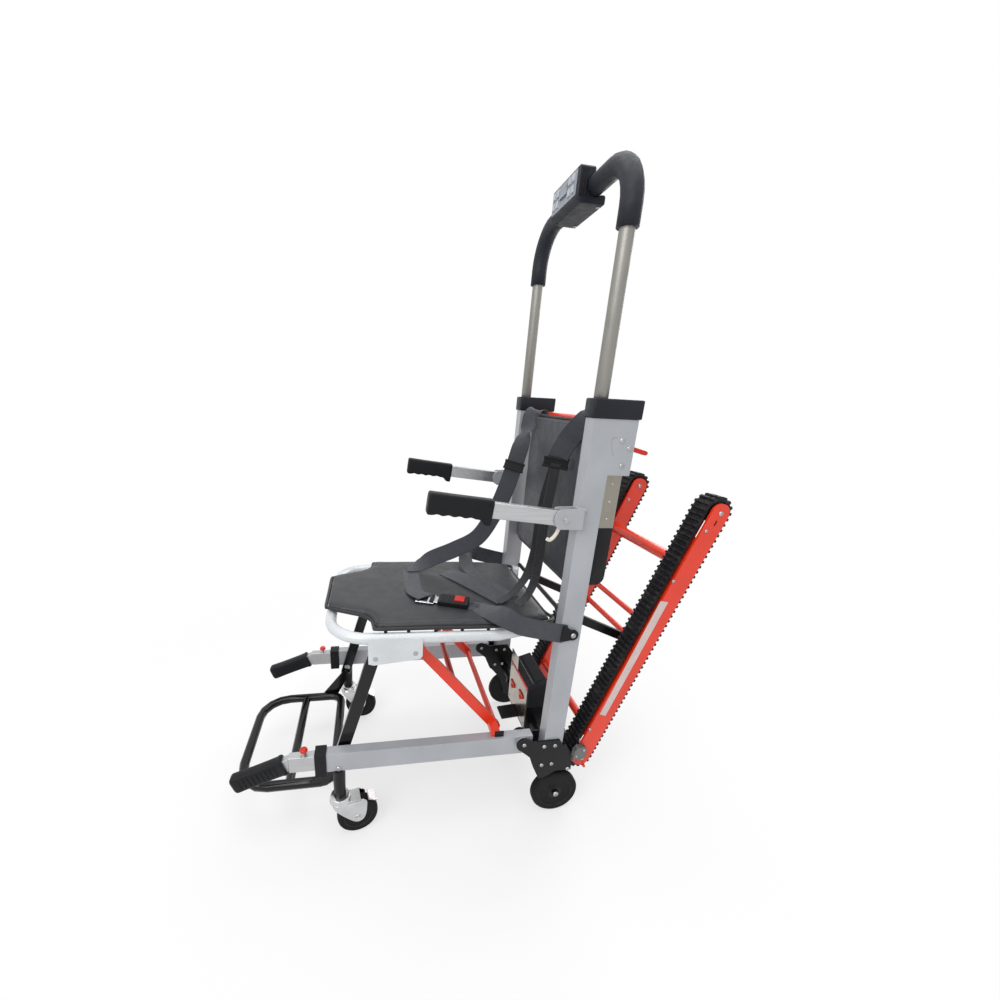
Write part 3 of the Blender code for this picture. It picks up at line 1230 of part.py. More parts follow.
def belt_pitch(tooth):
    """Outer and inner points of one tooth and the land after it, up to the next tooth."""
    shares = (0, BELT_TOOTH_TAPER, BELT_TOOTH_SHARE - BELT_TOOTH_TAPER, BELT_TOOTH_SHARE)
    radii = (BELT_BASE_RADIUS, BELT_TIP_RADIUS, BELT_TIP_RADIUS, BELT_BASE_RADIUS + BELT_LAND_SLOPE)
    outer = [belt_point(tooth + share, radius) for share, radius in zip(shares, radii)]
    outer.append(belt_point(tooth + 1, BELT_BASE_RADIUS))
    ends = [belt_point(tooth, BELT_INNER_RADIUS), belt_point(tooth + 1, BELT_INNER_RADIUS)]
    if all(abs(abs(across) - BELT_INNER_RADIUS) < GAP for across, _ in ends) and ends[0][0] * ends[1][0] > 0:
        return outer, ends
    return outer, [belt_point(tooth + share, BELT_INNER_RADIUS) for share in (*shares, 1)]


def belt_mesh(low, high):
    bm = bmesh.new()
    for tooth in range(BELT_TEETH):
        outer, inner = belt_pitch(tooth)
        rings = []
        for x in (low, high):
            rings.append([bm.verts.new((x, *point)) for point in outer + inner[::-1]])
            bm.faces.new(rings[-1])
        for step in range(len(outer) + len(inner) - 1):
            if step != len(outer) - 1:
                bm.faces.new((rings[0][step], rings[0][step + 1], rings[1][step + 1], rings[1][step]))
    bmesh.ops.remove_doubles(bm, verts=bm.verts, dist=1e-6)
    return mesh_of(bm)


def build_track_belts(track):
    middle = (TRACK_INNER_X + TRACK_OUTER_X) / 2
    for side, tag in SIDES:
        x_range = mirrored(middle - BELT_WIDTH / 2, middle + BELT_WIDTH / 2, side)
        finish(f"track_belt_{tag}", placed(belt_mesh(*x_range), TRACK), track, RUBBER)


def build_pulleys(frame, track):
    middle = (TRACK_INNER_X + TRACK_OUTER_X) / 2
    low, high = middle - PULLEY_WIDTH / 2, middle + PULLEY_WIDTH / 2
    radius = BELT_INNER_RADIUS - GAP
    end = TRACK_OUTER_X + SHAFT_PROUD
    right_half = [
        (low, SHAFT_RADIUS), (low, radius), (high, radius), (high, SHAFT_RADIUS), (end, SHAFT_RADIUS),
        (end, 0),
    ]
    profile = [(-along, r) for along, r in reversed(right_half)] + right_half
    axle_body = make_body("drive", (0, *DRIVE_AXIS), frame)
    mesh = lathe(profile, 24, closed=False)
    finish("drive_axle", placed(mesh, TRACK), axle_body, STEEL)
    stub_low = TRACK_INNER_X + TRACK_PLATE_THICK + GAP
    stub_high = TRACK_OUTER_X - TRACK_PLATE_THICK - GAP
    idler = (
        (stub_low, 0), (stub_low, SHAFT_RADIUS), (low, SHAFT_RADIUS), (low, radius), (high, radius),
        (high, SHAFT_RADIUS), (stub_high, SHAFT_RADIUS), (stub_high, 0),
    )
    at = TRACK @ Vector((0, 0, TRACK_LENGTH))
    for side, tag in SIDES:
        body = make_body(f"idler_{tag}_body", (side * middle, at.y, at.z), track)
        mesh = lathe([(side * along, r) for along, r in idler], 24, closed=False)
        mesh.transform(TRACK @ Matrix.Translation((0, 0, TRACK_LENGTH)))
        finish(f"idler_{tag}", mesh, body, BLACK_PLASTIC)


def build_stay(frame):
    body = make_body("track_stay_body", (0, *STAY_PIVOT), frame)
    reach = UPRIGHT_INNER_X - GAP
    stay = finish("track_stay", cross_rod(STAY_PIVOT, STAY_SHAFT_RADIUS, -reach, reach), body, BLACK_METAL)
    outline = link_outline(STAY_PIVOT, STAY_END, STAY_HALF_WIDTH)
    for side, _ in SIDES:
        arm = sheet([outline], *mirrored(STAY_X, STAY_X + STAY_THICK, side))
        pin_x = (STAY_X + JOIN_BITE, TRACK_INNER_X - GAP)
        pin = cross_rod(STAY_END, STAY_SHAFT_RADIUS, side * pin_x[0], side * pin_x[1])
        join(stay, arm, pin)


def build_drive_unit(frame):
    case = box((-UNIT_HALF_WIDTH, UNIT_FRONT, HOUSING_LOW), (UNIT_HALF_WIDTH, UNIT_REAR, HOUSING_TOP))
    housing = finish("drive_housing", case, frame, BLACK_METAL)
    reach = UPRIGHT_INNER_X - PLATE_THICK - 2 * GAP
    join(housing, cross_rod(CROSS_TUBE_AT, CROSS_TUBE_RADIUS, -reach, reach))
    lug = link_outline(CROSS_TUBE_AT, DRIVE_AXIS, LUG_RADIUS)
    hole = arc(DRIVE_AXIS, SHAFT_RADIUS + SHAFT_CLEARANCE, 0, 345, 23)
    for side, _ in SIDES:
        join(housing, sheet([lug, hole], *mirrored(LUG_X, LUG_X + LUG_THICK, side)))
    low = HOUSING_TOP + GAP
    outline = (
        (UNIT_FRONT, low), (UNIT_REAR, low), (UNIT_REAR, BATTERY_REAR_TOP), (UNIT_FRONT, BATTERY_FRONT_TOP),
    )
    case = sheet([outline], -UNIT_HALF_WIDTH, UNIT_HALF_WIDTH)
    battery = finish("battery_pack", case, frame, BLACK_PLASTIC)
    soften(battery, BATTERY_EDGE)
    pivot = (UNIT_FRONT - GAP - PEDAL_THICK / 2, PEDAL_Z)
    body = make_body("pedal_body", (0, *pivot), frame)
    outline = link_outline((pivot[0] - PEDAL_LENGTH, PEDAL_Z - PEDAL_DROP), pivot, PEDAL_THICK / 2, 4)
    pedal = finish("foot_pedal", sheet([outline], -PEDAL_HALF_WIDTH, PEDAL_HALF_WIDTH), body, RUBBER)
    soften(pedal, PEDAL_EDGE)


def panel_face(height):
    return back_point(PANEL_DEPTH, height)[0] - STRAP_RISE


def build_shoulder_belts(frame):
    across = (1, 0, 0)
    tongue = SEAT @ Vector((0.066, -0.300, PAD_LEVEL + PAD_THICK + STRAP_RISE + 2 * GAP))
    right = (
        ((-0.126, panel_face(0.989) - GAP, 0.989), across), ((-0.125, panel_face(0.975) - 0.005, 0.975), across),
        ((-0.121, 0.573, 0.945), across), ((-0.110, 0.547, 0.862), across), ((-0.100, 0.523, 0.797), across),
        ((-0.086, 0.493, 0.733), (1, 0.2, 0)), ((-0.060, 0.446, 0.670), (0.9, 0.4, 0)),
        ((-0.026, 0.390, 0.633), (0.84, 0.54, 0)), ((0.010, 0.335, 0.605), (0.7, 0.7, 0)),
        ((0.036, 0.319, 0.580), (0.52, 0.85, 0)), ((0.052, 0.309, tongue.z + 0.006), (0.45, 0.9, 0)),
        (tuple(tongue), (0.4, 0.92, 0)),
    )
    finish("shoulder_belt_right", ribbon(right, BELT_STRAP_WIDTH * 0.9, STRAP_THICK), frame, WEBBING)
    seat_face = SEAT @ Vector((0, -0.118, PAD_LEVEL + PAD_THICK + STRAP_RISE))
    left = (
        ((0.132, panel_face(0.989), 0.989), across), ((0.131, panel_face(0.975) - 0.004, 0.975), across),
        ((0.122, 0.575, 0.945), across), ((0.112, 0.566, 0.905), across), ((0.102, 0.564, 0.830), across),
        ((0.092, 0.565, 0.745), across), ((0.089, 0.562, 0.650), across), ((0.094, 0.546, 0.592), across),
        ((0.100, seat_face.y + 0.032, seat_face.z + 0.014), across),
        ((0.103, seat_face.y + 0.014, seat_face.z + 0.004), across),
        ((0.105, seat_face.y, seat_face.z + GAP), across),
    )
    finish("shoulder_belt_left", ribbon(left, BELT_STRAP_WIDTH * 0.75, STRAP_THICK), frame, WEBBING)


def build_base(frame):
    base = make_body("base_rails", (0, *PIVOT_A), frame)
    build_rails(base)
    build_castors(base)


def build_chair():
    root = make_body("chair", (0, 0, 0))
    build_uprights(root)
    build_back(root)
    build_handle(root)
    build_levers(root)
    build_arms(root)
    build_brackets(root)
    build_base(root)
    build_seat(root)
    build_track(root)
    build_stay(root)
    build_drive_unit(root)
    build_shoulder_belts(root)
    root.location.y = -MIDDLE_Y


build_chair()
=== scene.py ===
"""A folding stair climbing chair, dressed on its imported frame.

Lengths are in metres. X runs across the chair, the occupant faces -Y and Z is up.
Positions are those of the side drawing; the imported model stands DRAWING_SHIFT further forward.
"""

import logging
import math
from dataclasses import dataclass
from enum import Enum
from functools import lru_cache
from typing import Optional, Sequence, Union

import bmesh
import bpy
from mathutils import Matrix, Vector, noise
from mathutils.bvhtree import BVHTree


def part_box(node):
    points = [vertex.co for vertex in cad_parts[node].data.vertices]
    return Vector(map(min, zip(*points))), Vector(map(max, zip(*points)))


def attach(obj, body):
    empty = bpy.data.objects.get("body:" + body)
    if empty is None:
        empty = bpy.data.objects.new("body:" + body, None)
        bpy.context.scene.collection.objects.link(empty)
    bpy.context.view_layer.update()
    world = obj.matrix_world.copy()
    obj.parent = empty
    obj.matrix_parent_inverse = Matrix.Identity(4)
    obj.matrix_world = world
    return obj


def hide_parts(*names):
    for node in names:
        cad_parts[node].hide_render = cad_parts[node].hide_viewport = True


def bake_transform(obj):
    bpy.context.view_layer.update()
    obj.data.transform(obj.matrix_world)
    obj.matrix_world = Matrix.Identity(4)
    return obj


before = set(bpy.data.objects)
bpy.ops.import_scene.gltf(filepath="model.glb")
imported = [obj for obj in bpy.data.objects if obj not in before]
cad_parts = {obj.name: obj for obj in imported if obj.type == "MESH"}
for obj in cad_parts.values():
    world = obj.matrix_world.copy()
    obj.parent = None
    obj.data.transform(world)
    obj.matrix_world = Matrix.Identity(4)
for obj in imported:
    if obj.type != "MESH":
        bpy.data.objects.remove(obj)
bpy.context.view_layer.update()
LOG = logging.getLogger("stair_chair")

Rgb = tuple[int, int, int]
Pair = tuple[float, float]
Triple = tuple[float, float, float]
Socket = bpy.types.NodeSocket
Value = Union[float, Socket]

SIDES: tuple[tuple[int, str], ...] = ((1, "left"), (-1, "right"))
RAIL_REAR_Y = 0.540
DRAWING_SHIFT = RAIL_REAR_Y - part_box("rail_left")[1].y
HARD_ANGLE = 38.0
WELD_DISTANCE = 0.00002
BELT_STEP = 0.006
SEAM_STEP = 0.003


# ---------------------------------------------------------------- drawing frames


@dataclass(frozen=True)
class Place:
    """A frame of the drawing: where its origin stands in the side view and how far it leans."""

    y: float
    z: float
    lean: float
    x: float = 0.0

    def matrix(self) -> Matrix:
        """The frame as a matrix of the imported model."""
        spot = Matrix.Translation((self.x, self.y - DRAWING_SHIFT, self.z))
        return spot @ Matrix.Rotation(math.radians(-self.lean), 4, "X")

    def at(self, x: float, y: float, z: float) -> Vector:
        """A point of this frame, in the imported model."""
        return self.matrix() @ Vector((x, y, z))

    def way(self, x: float, y: float, z: float) -> Vector:
        """A direction of this frame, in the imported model."""
        return (self.matrix().to_3x3() @ Vector((x, y, z))).normalized()


PLAN = Place(0.0, 0.0, 0.0)
BACK = Place(0.563, 0.0, 1.1)
SEAT = Place(0.603, 0.521, 1.6)
TRACK = Place(0.698, 0.132, 20.2)


# ---------------------------------------------------------------- finishes


def linear(rgb: Rgb) -> tuple[float, float, float, float]:
    """Turns a colour as seen on a screen into the shader's linear colour.

    Args:
        rgb: red, green and blue from 0 to 255.

    Returns:
        The linear colour with full alpha.
    """
    shares = [value / 255 for value in rgb]
    curve = [s / 12.92 if s <= 0.04045 else ((s + 0.055) / 1.055) ** 2.4 for s in shares]
    return (curve[0], curve[1], curve[2], 1.0)


def shaded(rgb: Rgb, share: float) -> Rgb:
    """The same hue, lighter or darker by a share."""
    return tuple(max(0, min(255, round(value * share))) for value in rgb)


class Grain(Enum):
    """How a metal was brushed, drawn or polished: the texture's stretch along X, Y and Z."""

    FORE_AFT = (1300.0, 14.0, 1300.0)
    UPRIGHT = (1300.0, 1300.0, 14.0)
    POLISHED = (18.0, 18.0, 18.0)


class Recipe:
    """Builds one node material, step by step."""

    def __init__(self, name: str) -> None:
        """Starts a material with its shader and the object's own coordinates.

        Args:
            name: Name of the material.
        """
        self.material = bpy.data.materials.new(name)
        self.material.use_nodes = True
        self.tree = self.material.node_tree
        self.shader = self.tree.nodes["Principled BSDF"]
        self.spot = self.add("ShaderNodeTexCoord").outputs["Object"]

    def add(self, kind: str, **settings: object) -> bpy.types.Node:
        """Adds a node and sets its properties.

        Args:
            kind: Type of the node.
            settings: The node's settings.

        Returns:
            The new node.
        """
        node = self.tree.nodes.new(kind)
        for key, value in settings.items():
            setattr(node, key, value)
        return node

    def put(self, target: Socket, value: object) -> None:
        """Links a socket to the target, or sets the target's own value.

        Args:
            target: Where the value goes.
            value: A socket or a plain value.
        """
        if isinstance(value, bpy.types.NodeSocket):
            self.tree.links.new(value, target)
        else:
            target.default_value = value

    def set(self, **values: object) -> None:
        """Sets or feeds the shader's sockets, spaces in their names written as underscores."""
        for key, value in values.items():
            self.put(self.shader.inputs[key.replace("_", " ")], value)

    def scaled(self, factors: Triple) -> Socket:
        """Object coordinates stretched along each axis.

        Args:
            factors: Scale along X, Y and Z.

        Returns:
            The scaled coordinates.
        """
        node = self.add("ShaderNodeMapping")
        self.put(node.inputs["Vector"], self.spot)
        node.inputs["Scale"].default_value = factors
        return node.outputs["Vector"]

    def noise(self, scale: float, detail: float = 3.0, spot: Optional[Socket] = None) -> Socket:
        """A cloudy value about a half.

        Args:
            scale: Texture scale.
            detail: Octaves of detail.
            spot: Coordinates, or none for the object's own.

        Returns:
            The noise value.
        """
        node = self.add("ShaderNodeTexNoise")
        self.put(node.inputs["Vector"], spot or self.spot)
        node.inputs["Scale"].default_value = scale
        node.inputs["Detail"].default_value = detail
        return node.outputs["Fac"]

    def cells(self, scale: float, feature: str = "F1", spot: Optional[Socket] = None) -> Socket:
        """Distance within a cell pattern.

        Args:
            scale: Texture scale.
            feature: Cell feature to read.
            spot: Coordinates, or none for the object's own.

        Returns:
            The cell value.
        """
        node = self.add("ShaderNodeTexVoronoi", feature=feature)
        self.put(node.inputs["Vector"], spot or self.spot)
        node.inputs["Scale"].default_value = scale
        return node.outputs["Distance"]

    def remap(self, value: Socket, source: Pair, target: Pair) -> Socket:
        """Carries a value from one range to another, held at the ends.

        Args:
            value: A socket or a plain value.
            source: Range that is read.
            target: Range that comes out.

        Returns:
            The remapped value.
        """
        node = self.add("ShaderNodeMapRange")
        for slot, part in zip(node.inputs, (value, *source, *target)):
            self.put(slot, part)
        return node.outputs["Result"]

    def sum(self, kind: str, first: Value, second: Value = 0.0) -> Socket:
        """One step of arithmetic on two values.

        Args:
            kind: The operation.
            first: First value.
            second: Second value.

        Returns:
            The result.
        """
        node = self.add("ShaderNodeMath", operation=kind)
        self.put(node.inputs[0], first)
        self.put(node.inputs[1], second)
        return node.outputs[0]

    def tint(self, share: Socket, first: object, second: object) -> Socket:
        """Mixes two colours by a share.

        Args:
            share: 0 for the first colour, 1 for the second.
            first: an Rgb, or a colour socket.
            second: an Rgb, or a colour socket.

        Returns:
            The mixed colour.
        """
        node = self.add("ShaderNodeMix", data_type="RGBA")
        self.put(node.inputs[0], share)
        for slot, colour in ((6, first), (7, second)):
            self.put(node.inputs[slot], linear(colour) if isinstance(colour, tuple) else colour)
        return node.outputs[2]

    def bump(self, height: Socket, depth: float, base: Optional[Socket] = None) -> Socket:
        """A normal that follows a height, with the relief's depth in metres.

        Args:
            height: Height socket.
            depth: Depth of the relief in metres.
            base: Relief that lies under this one.

        Returns:
            The normal.
        """
        node = self.add("ShaderNodeBump")
        node.inputs["Distance"].default_value = depth
        self.put(node.inputs["Height"], height)
        if base is not None:
            self.put(node.inputs["Normal"], base)
        return node.outputs["Normal"]

    def edges(self, radius: float) -> Socket:
        """Near 1 along sharp edges and 0 on open faces.

        Args:
            radius: Radius in metres.

        Returns:
            One on edges and zero elsewhere.
        """
        round_off = self.add("ShaderNodeBevel", samples=4)
        round_off.inputs["Radius"].default_value = radius
        dot = self.add("ShaderNodeVectorMath", operation="DOT_PRODUCT")
        self.put(dot.inputs[0], round_off.outputs["Normal"])
        self.put(dot.inputs[1], self.add("ShaderNodeNewGeometry").outputs["Normal"])
        return self.remap(dot.outputs["Value"], (0.80, 0.985), (1.0, 0.0))


class Finish:
    """A surface finish that can make its own material."""

    name: str

    def make(self) -> bpy.types.Material:
        """Builds the material.

        Returns:
            The new material.
        """
        recipe = Recipe(self.name)
        self.mix(recipe)
        return recipe.material

    def mix(self, recipe: Recipe) -> None:
        """Sets the shader's sockets, as each finish does in its own way."""
        raise NotImplementedError


@lru_cache(maxsize=None)
def material_of(finish: Finish) -> bpy.types.Material:
    """The finish's material, built once."""
    return finish.make()


@dataclass(frozen=True)
class Paint(Finish):
    """Stoved paint with a faint orange peel, soft clouding and rubbed edges."""

    name: str
    colour: Rgb
    roughness: float = 0.36
    metallic: float = 0.0
    coat: float = 0.15
    rub: float = 1.25
    gloss: float = 0.5

    def mix(self, recipe: Recipe) -> None:
        """Sets the shader's sockets.

        Args:
            recipe: The material under way.
        """
        cloud = recipe.remap(recipe.noise(9.0, 4.0), (0.32, 0.68), (0.0, 1.0))
        tone = recipe.tint(cloud, shaded(self.colour, 0.955), shaded(self.colour, 1.02))
        rubbed = recipe.sum("MULTIPLY", recipe.edges(0.0016), recipe.remap(
            recipe.noise(55.0, 5.0), (0.42, 0.66), (0.0, 0.65)))
        recipe.set(
            Base_Color=recipe.tint(rubbed, tone, shaded(self.colour, self.rub)),
            Roughness=recipe.remap(
                recipe.noise(38.0, 5.0), (0.3, 0.7), (self.roughness - 0.06, self.roughness + 0.09)),
            Metallic=self.metallic, Coat_Weight=self.coat, Coat_Roughness=0.18,
            Specular_IOR_Level=self.gloss,
            Normal=recipe.bump(recipe.noise(520.0, 2.0), 0.00006),
        )


@dataclass(frozen=True)
class Metal(Finish):
    """Bare metal with drawn or brushed grain, handling marks and a varied gloss."""

    name: str
    colour: Rgb
    roughness: float = 0.3
    grain: Grain = Grain.POLISHED

    def mix(self, recipe: Recipe) -> None:
        """Sets the shader's sockets.

        Args:
            recipe: The material under way.
        """
        streak = recipe.noise(1.0, 4.0, recipe.scaled(self.grain.value))
        smear = recipe.noise(24.0, 5.0)
        tone = recipe.tint(
            recipe.remap(streak, (0.3, 0.7), (0.0, 1.0)),
            shaded(self.colour, 0.93), shaded(self.colour, 1.04))
        recipe.set(
            Base_Color=recipe.tint(
                recipe.remap(smear, (0.55, 0.75), (0.0, 0.25)), tone, shaded(self.colour, 0.84)),
            Roughness=recipe.sum(
                "ADD", recipe.remap(streak, (0.3, 0.7), (self.roughness - 0.06, self.roughness + 0.05)),
                recipe.remap(smear, (0.4, 0.8), (0.0, 0.10))),
            Metallic=1.0,
            Normal=recipe.bump(streak, 0.00003),
        )


@dataclass(frozen=True)
class Plastic(Finish):
    """Moulded plastic or hard rubber with a fine etched grain and dusty hollows."""

    name: str
    colour: Rgb
    roughness: float = 0.48
    grain: float = 900.0
    depth: float = 0.00009
    gloss: float = 0.22

    def mix(self, recipe: Recipe) -> None:
        """Sets the shader's sockets.

        Args:
            recipe: The material under way.
        """
        etched = recipe.cells(self.grain)
        cloud = recipe.remap(recipe.noise(16.0, 5.0), (0.35, 0.7), (0.0, 1.0))
        tone = recipe.tint(cloud, shaded(self.colour, 0.93), shaded(self.colour, 1.08))
        rubbed = recipe.sum("MULTIPLY", recipe.edges(0.0012), recipe.remap(
            recipe.noise(80.0, 4.0), (0.4, 0.7), (0.0, 0.55)))
        recipe.set(
            Base_Color=recipe.tint(rubbed, tone, shaded(self.colour, 1.45)),
            Roughness=recipe.remap(
                recipe.noise(60.0, 4.0), (0.3, 0.7), (self.roughness - 0.07, self.roughness + 0.08)),
            Specular_IOR_Level=self.gloss,
            Normal=recipe.bump(etched, self.depth),
        )


@dataclass(frozen=True)
class Rubber(Finish):
    """Tread rubber with floor dust, scuffs and a coarse skin."""

    name: str
    colour: Rgb
    dust: Rgb = (120, 114, 106)
    dusty: float = 0.28

    def mix(self, recipe: Recipe) -> None:
        """Sets the shader's sockets.

        Args:
            recipe: The material under way.
        """
        scuff = recipe.remap(recipe.noise(34.0, 8.0), (0.5, 0.78), (0.0, self.dusty))
        skin = recipe.noise(700.0, 3.0)
        recipe.set(
            Base_Color=recipe.tint(scuff, recipe.tint(skin, shaded(self.colour, 0.9), shaded(
                self.colour, 1.12)), self.dust),
            Roughness=recipe.remap(scuff, (0.0, self.dusty), (0.55, 0.85)),
            Specular_IOR_Level=0.18,
            Normal=recipe.bump(skin, 0.00018),
        )


@dataclass(frozen=True)
class Foam(Finish):
    """Closed-cell handle foam: fine open pores under a soft sheen."""

    name: str
    colour: Rgb

    def mix(self, recipe: Recipe) -> None:
        """Sets the shader's sockets.

        Args:
            recipe: The material under way.
        """
        pores = recipe.cells(1500.0)
        lumps = recipe.noise(120.0, 4.0)
        height = recipe.sum("ADD", pores, recipe.sum("MULTIPLY", lumps, 1.4))
        recipe.set(
            Base_Color=recipe.tint(recipe.remap(recipe.noise(22.0, 4.0), (0.3, 0.7), (0.0, 1.0)), shaded(
                self.colour, 0.9), shaded(self.colour, 1.1)),
            Roughness=recipe.remap(lumps, (0.3, 0.7), (0.46, 0.62)),
            Specular_IOR_Level=0.3,
            Normal=recipe.bump(height, 0.00016),
        )


@dataclass(frozen=True)
class Leatherette(Finish):
    """Coated cloth: a pebbled skin with a few long creases and a soft gloss."""

    name: str
    colour: Rgb
    roughness: float = 0.5

    def mix(self, recipe: Recipe) -> None:
        """Sets the shader's sockets.

        Args:
            recipe: The material under way.
        """
        pebble = recipe.cells(620.0, "SMOOTH_F1")
        crease = recipe.noise(1.0, 6.0, recipe.scaled((16.0, 28.0, 22.0)))
        cloud = recipe.remap(recipe.noise(7.0, 4.0), (0.35, 0.65), (0.0, 1.0))
        tone = recipe.tint(cloud, shaded(self.colour, 0.92), shaded(self.colour, 1.06))
        skin = recipe.bump(crease, 0.0005)
        recipe.set(
            Base_Color=recipe.tint(recipe.remap(pebble, (0.05, 0.6), (0.0, 0.5)), tone, shaded(
                self.colour, 1.18)),
            Roughness=recipe.remap(
                recipe.noise(45.0, 4.0), (0.3, 0.7), (self.roughness - 0.06, self.roughness + 0.08)),
            Sheen_Weight=0.08, Sheen_Roughness=0.4,
            Normal=recipe.bump(pebble, 0.00022, skin),
        )


@dataclass(frozen=True)
class Webbing(Finish):
    """Woven belt webbing: ribs along the belt, picks across it and a thicker selvedge."""

    name: str
    colour: Rgb
    width: float
    rib: float = 0.0021
    pick: float = 0.0013

    def mix(self, recipe: Recipe) -> None:
        """Sets the shader's sockets.

        Args:
            recipe: The material under way.
        """
        part = recipe.add("ShaderNodeSeparateXYZ")
        recipe.put(part.inputs[0], recipe.add("ShaderNodeUVMap", uv_map="belt").outputs["UV"])
        across, along = part.outputs[0], part.outputs[1]
        ribs = recipe.sum("SINE", recipe.sum("MULTIPLY", across, 2 * math.pi / self.rib))
        slant = recipe.sum("ADD", recipe.sum("MULTIPLY", along, 2 * math.pi / self.pick), recipe.sum(
            "MULTIPLY", ribs, 1.2))
        weave = recipe.sum("ADD", ribs, recipe.sum("MULTIPLY", recipe.sum("SINE", slant), 0.7))
        middle = recipe.sum("ABSOLUTE", recipe.sum("SUBTRACT", across, self.width / 2))
        selvedge = recipe.remap(middle, (self.width * 0.43, self.width * 0.46), (0.0, 0.6))
        tone = recipe.tint(
            recipe.remap(weave, (-1.7, 1.7), (0.0, 1.0)),
            shaded(self.colour, 0.80), shaded(self.colour, 1.16))
        recipe.set(
            Base_Color=recipe.tint(selvedge, tone, shaded(self.colour, 0.72)),
            Roughness=recipe.remap(recipe.noise(90.0, 4.0), (0.3, 0.7), (0.55, 0.75)),
            Sheen_Weight=0.2, Sheen_Roughness=0.45,
            Normal=recipe.bump(weave, 0.00025),
        )


@dataclass(frozen=True)
class Reflector(Finish):
    """Retro-reflective tape: a pale honeycomb sealed under a gloss film."""

    name: str
    colour: Rgb

    def mix(self, recipe: Recipe) -> None:
        """Sets the shader's sockets.

        Args:
            recipe: The material under way.
        """
        comb = recipe.cells(330.0, "DISTANCE_TO_EDGE")
        walls = recipe.remap(comb, (0.02, 0.10), (0.6, 0.0))
        cloud = recipe.remap(recipe.noise(30.0, 3.0), (0.35, 0.65), (0.0, 1.0))
        recipe.set(
            Base_Color=recipe.tint(walls, recipe.tint(cloud, shaded(self.colour, 0.95), self.colour), shaded(
                self.colour, 1.1)),
            Roughness=recipe.remap(walls, (0.0, 0.6), (0.30, 0.45)),
            Metallic=0.35, Coat_Weight=0.3,
            Normal=recipe.bump(walls, 0.0001),
        )


BELT_WIDE = 0.046
BELT_TAIL = 0.022

SILVER = Paint("silver_paint", (168, 171, 176), 0.40, 0.12, 0.1, 1.12)
PALE = Paint("pale_grey_paint", (206, 210, 214), 0.28, 0.05, 0.3, 1.08)
RED = Paint("red_paint", (228, 52, 20), 0.36, 0.0, 0.2, 1.18)
GLOSS_BLACK = Paint("gloss_black_paint", (7, 7, 8), 0.14, 0.0, 0.35, 3.0, 0.2)
SATIN_BLACK = Paint("satin_black_paint", (13, 13, 15), 0.36, 0.0, 0.0, 2.4, 0.25)
SEAM_GREY = Paint("seam_grey", (128, 131, 137), 0.5)
POST_METAL = Metal("satin_post_metal", (150, 148, 143), 0.50, Grain.UPRIGHT)
BAR_METAL = Metal("brushed_aluminium", (190, 191, 192), 0.40, Grain.FORE_AFT)
STAINLESS = Metal("stainless_sheet", (150, 145, 136), 0.34, Grain.UPRIGHT)
CROSS_STEEL = Metal("stainless_cross_grain", (168, 160, 149), 0.22, Grain.UPRIGHT)
CHROME = Metal("bright_zinc", (206, 207, 209), 0.20)
BLOCK_METAL = Metal("cast_grey_metal", (122, 122, 123), 0.5)
BOLT_STEEL = Metal("bolt_steel", (178, 179, 181), 0.28)
CAP_PLASTIC = Plastic("cap_plastic", (29, 31, 38), 0.45)
BLACK_PLASTIC = Plastic("black_plastic", (16, 16, 19), 0.45)
LID_PLASTIC = Plastic("lid_plastic", (30, 31, 34), 0.42)
GREY_PLASTIC = Plastic("grey_plastic", (140, 145, 154), 0.42, gloss=0.5)
PALE_PLASTIC = Plastic("pale_plastic", (168, 172, 180), 0.4, gloss=0.5)
CREAM_PLASTIC = Plastic("cream_plastic", (222, 214, 198), 0.4, gloss=0.5)
RED_PLASTIC = Plastic("red_plastic", (204, 36, 24), 0.34, gloss=0.4)
GRIP_RUBBER = Plastic("grip_rubber", (17, 18, 21), 0.5, 700.0, 0.00014)
TYRE = Rubber("tyre_rubber", (12, 12, 13), (76, 74, 72), 0.12)
BELT_RUBBER = Rubber("belt_rubber", (27, 27, 30), (110, 104, 100), 0.26)
HANDLE_FOAM = Foam("handle_foam", (27, 30, 39))
SEAT_CLOTH = Leatherette("seat_cloth", (36, 37, 41), 0.46)
BACK_CLOTH = Leatherette("back_cloth", (42, 44, 50), 0.5)
PIPING = Leatherette("piping_cloth", (20, 21, 24), 0.45)
THREAD = Plastic("thread", (52, 53, 58), 0.7, 2600.0)
WIDE_WEB = Webbing("wide_webbing", (58, 60, 68), BELT_WIDE)
TAIL_WEB = Webbing("tail_webbing", (30, 31, 36), BELT_TAIL)
TAPE = Reflector("reflective_tape", (206, 190, 186))


# ---------------------------------------------------------------- mesh making


def spline(points: Sequence[Vector], step: float) -> list[Vector]:
    """A smooth line through points.

    Args:
        points: the points it passes.
        step: about how far apart the new points lie.

    Returns:
        The points of the line, both ends included.
    """
    line: list[Vector] = []
    for index in range(len(points) - 1):
        before, start = points[max(index - 1, 0)], points[index]
        end, after = points[index + 1], points[min(index + 2, len(points) - 1)]
        count = max(1, round((end - start).length / step))
        for turn in range(count):
            t = turn / count
            line.append(0.5 * (
                2 * start + (end - before) * t + (2 * before - 5 * start + 4 * end - after) * t * t
                + (3 * start - before - 3 * end + after) * t ** 3))
    return line + [points[-1].copy()]


def distances(path: Sequence[Vector]) -> list[float]:
    """How far along a path each of its points lies.

    Args:
        path: Points along the middle line.

    Returns:
        The distances from the first point.
    """
    marks = [0.0]
    for first, second in zip(path, path[1:]):
        marks.append(marks[-1] + (second - first).length)
    return marks


def ring_axes(axis: Vector) -> tuple[Vector, Vector]:
    """Two directions square to an axis and to each other."""
    first = axis.orthogonal().normalized()
    return first, axis.cross(first).normalized()


class Head(Enum):
    """The kinds of fastener heads."""

    BUTTON = "button"
    FLAT = "flat"
    HEX = "hex"


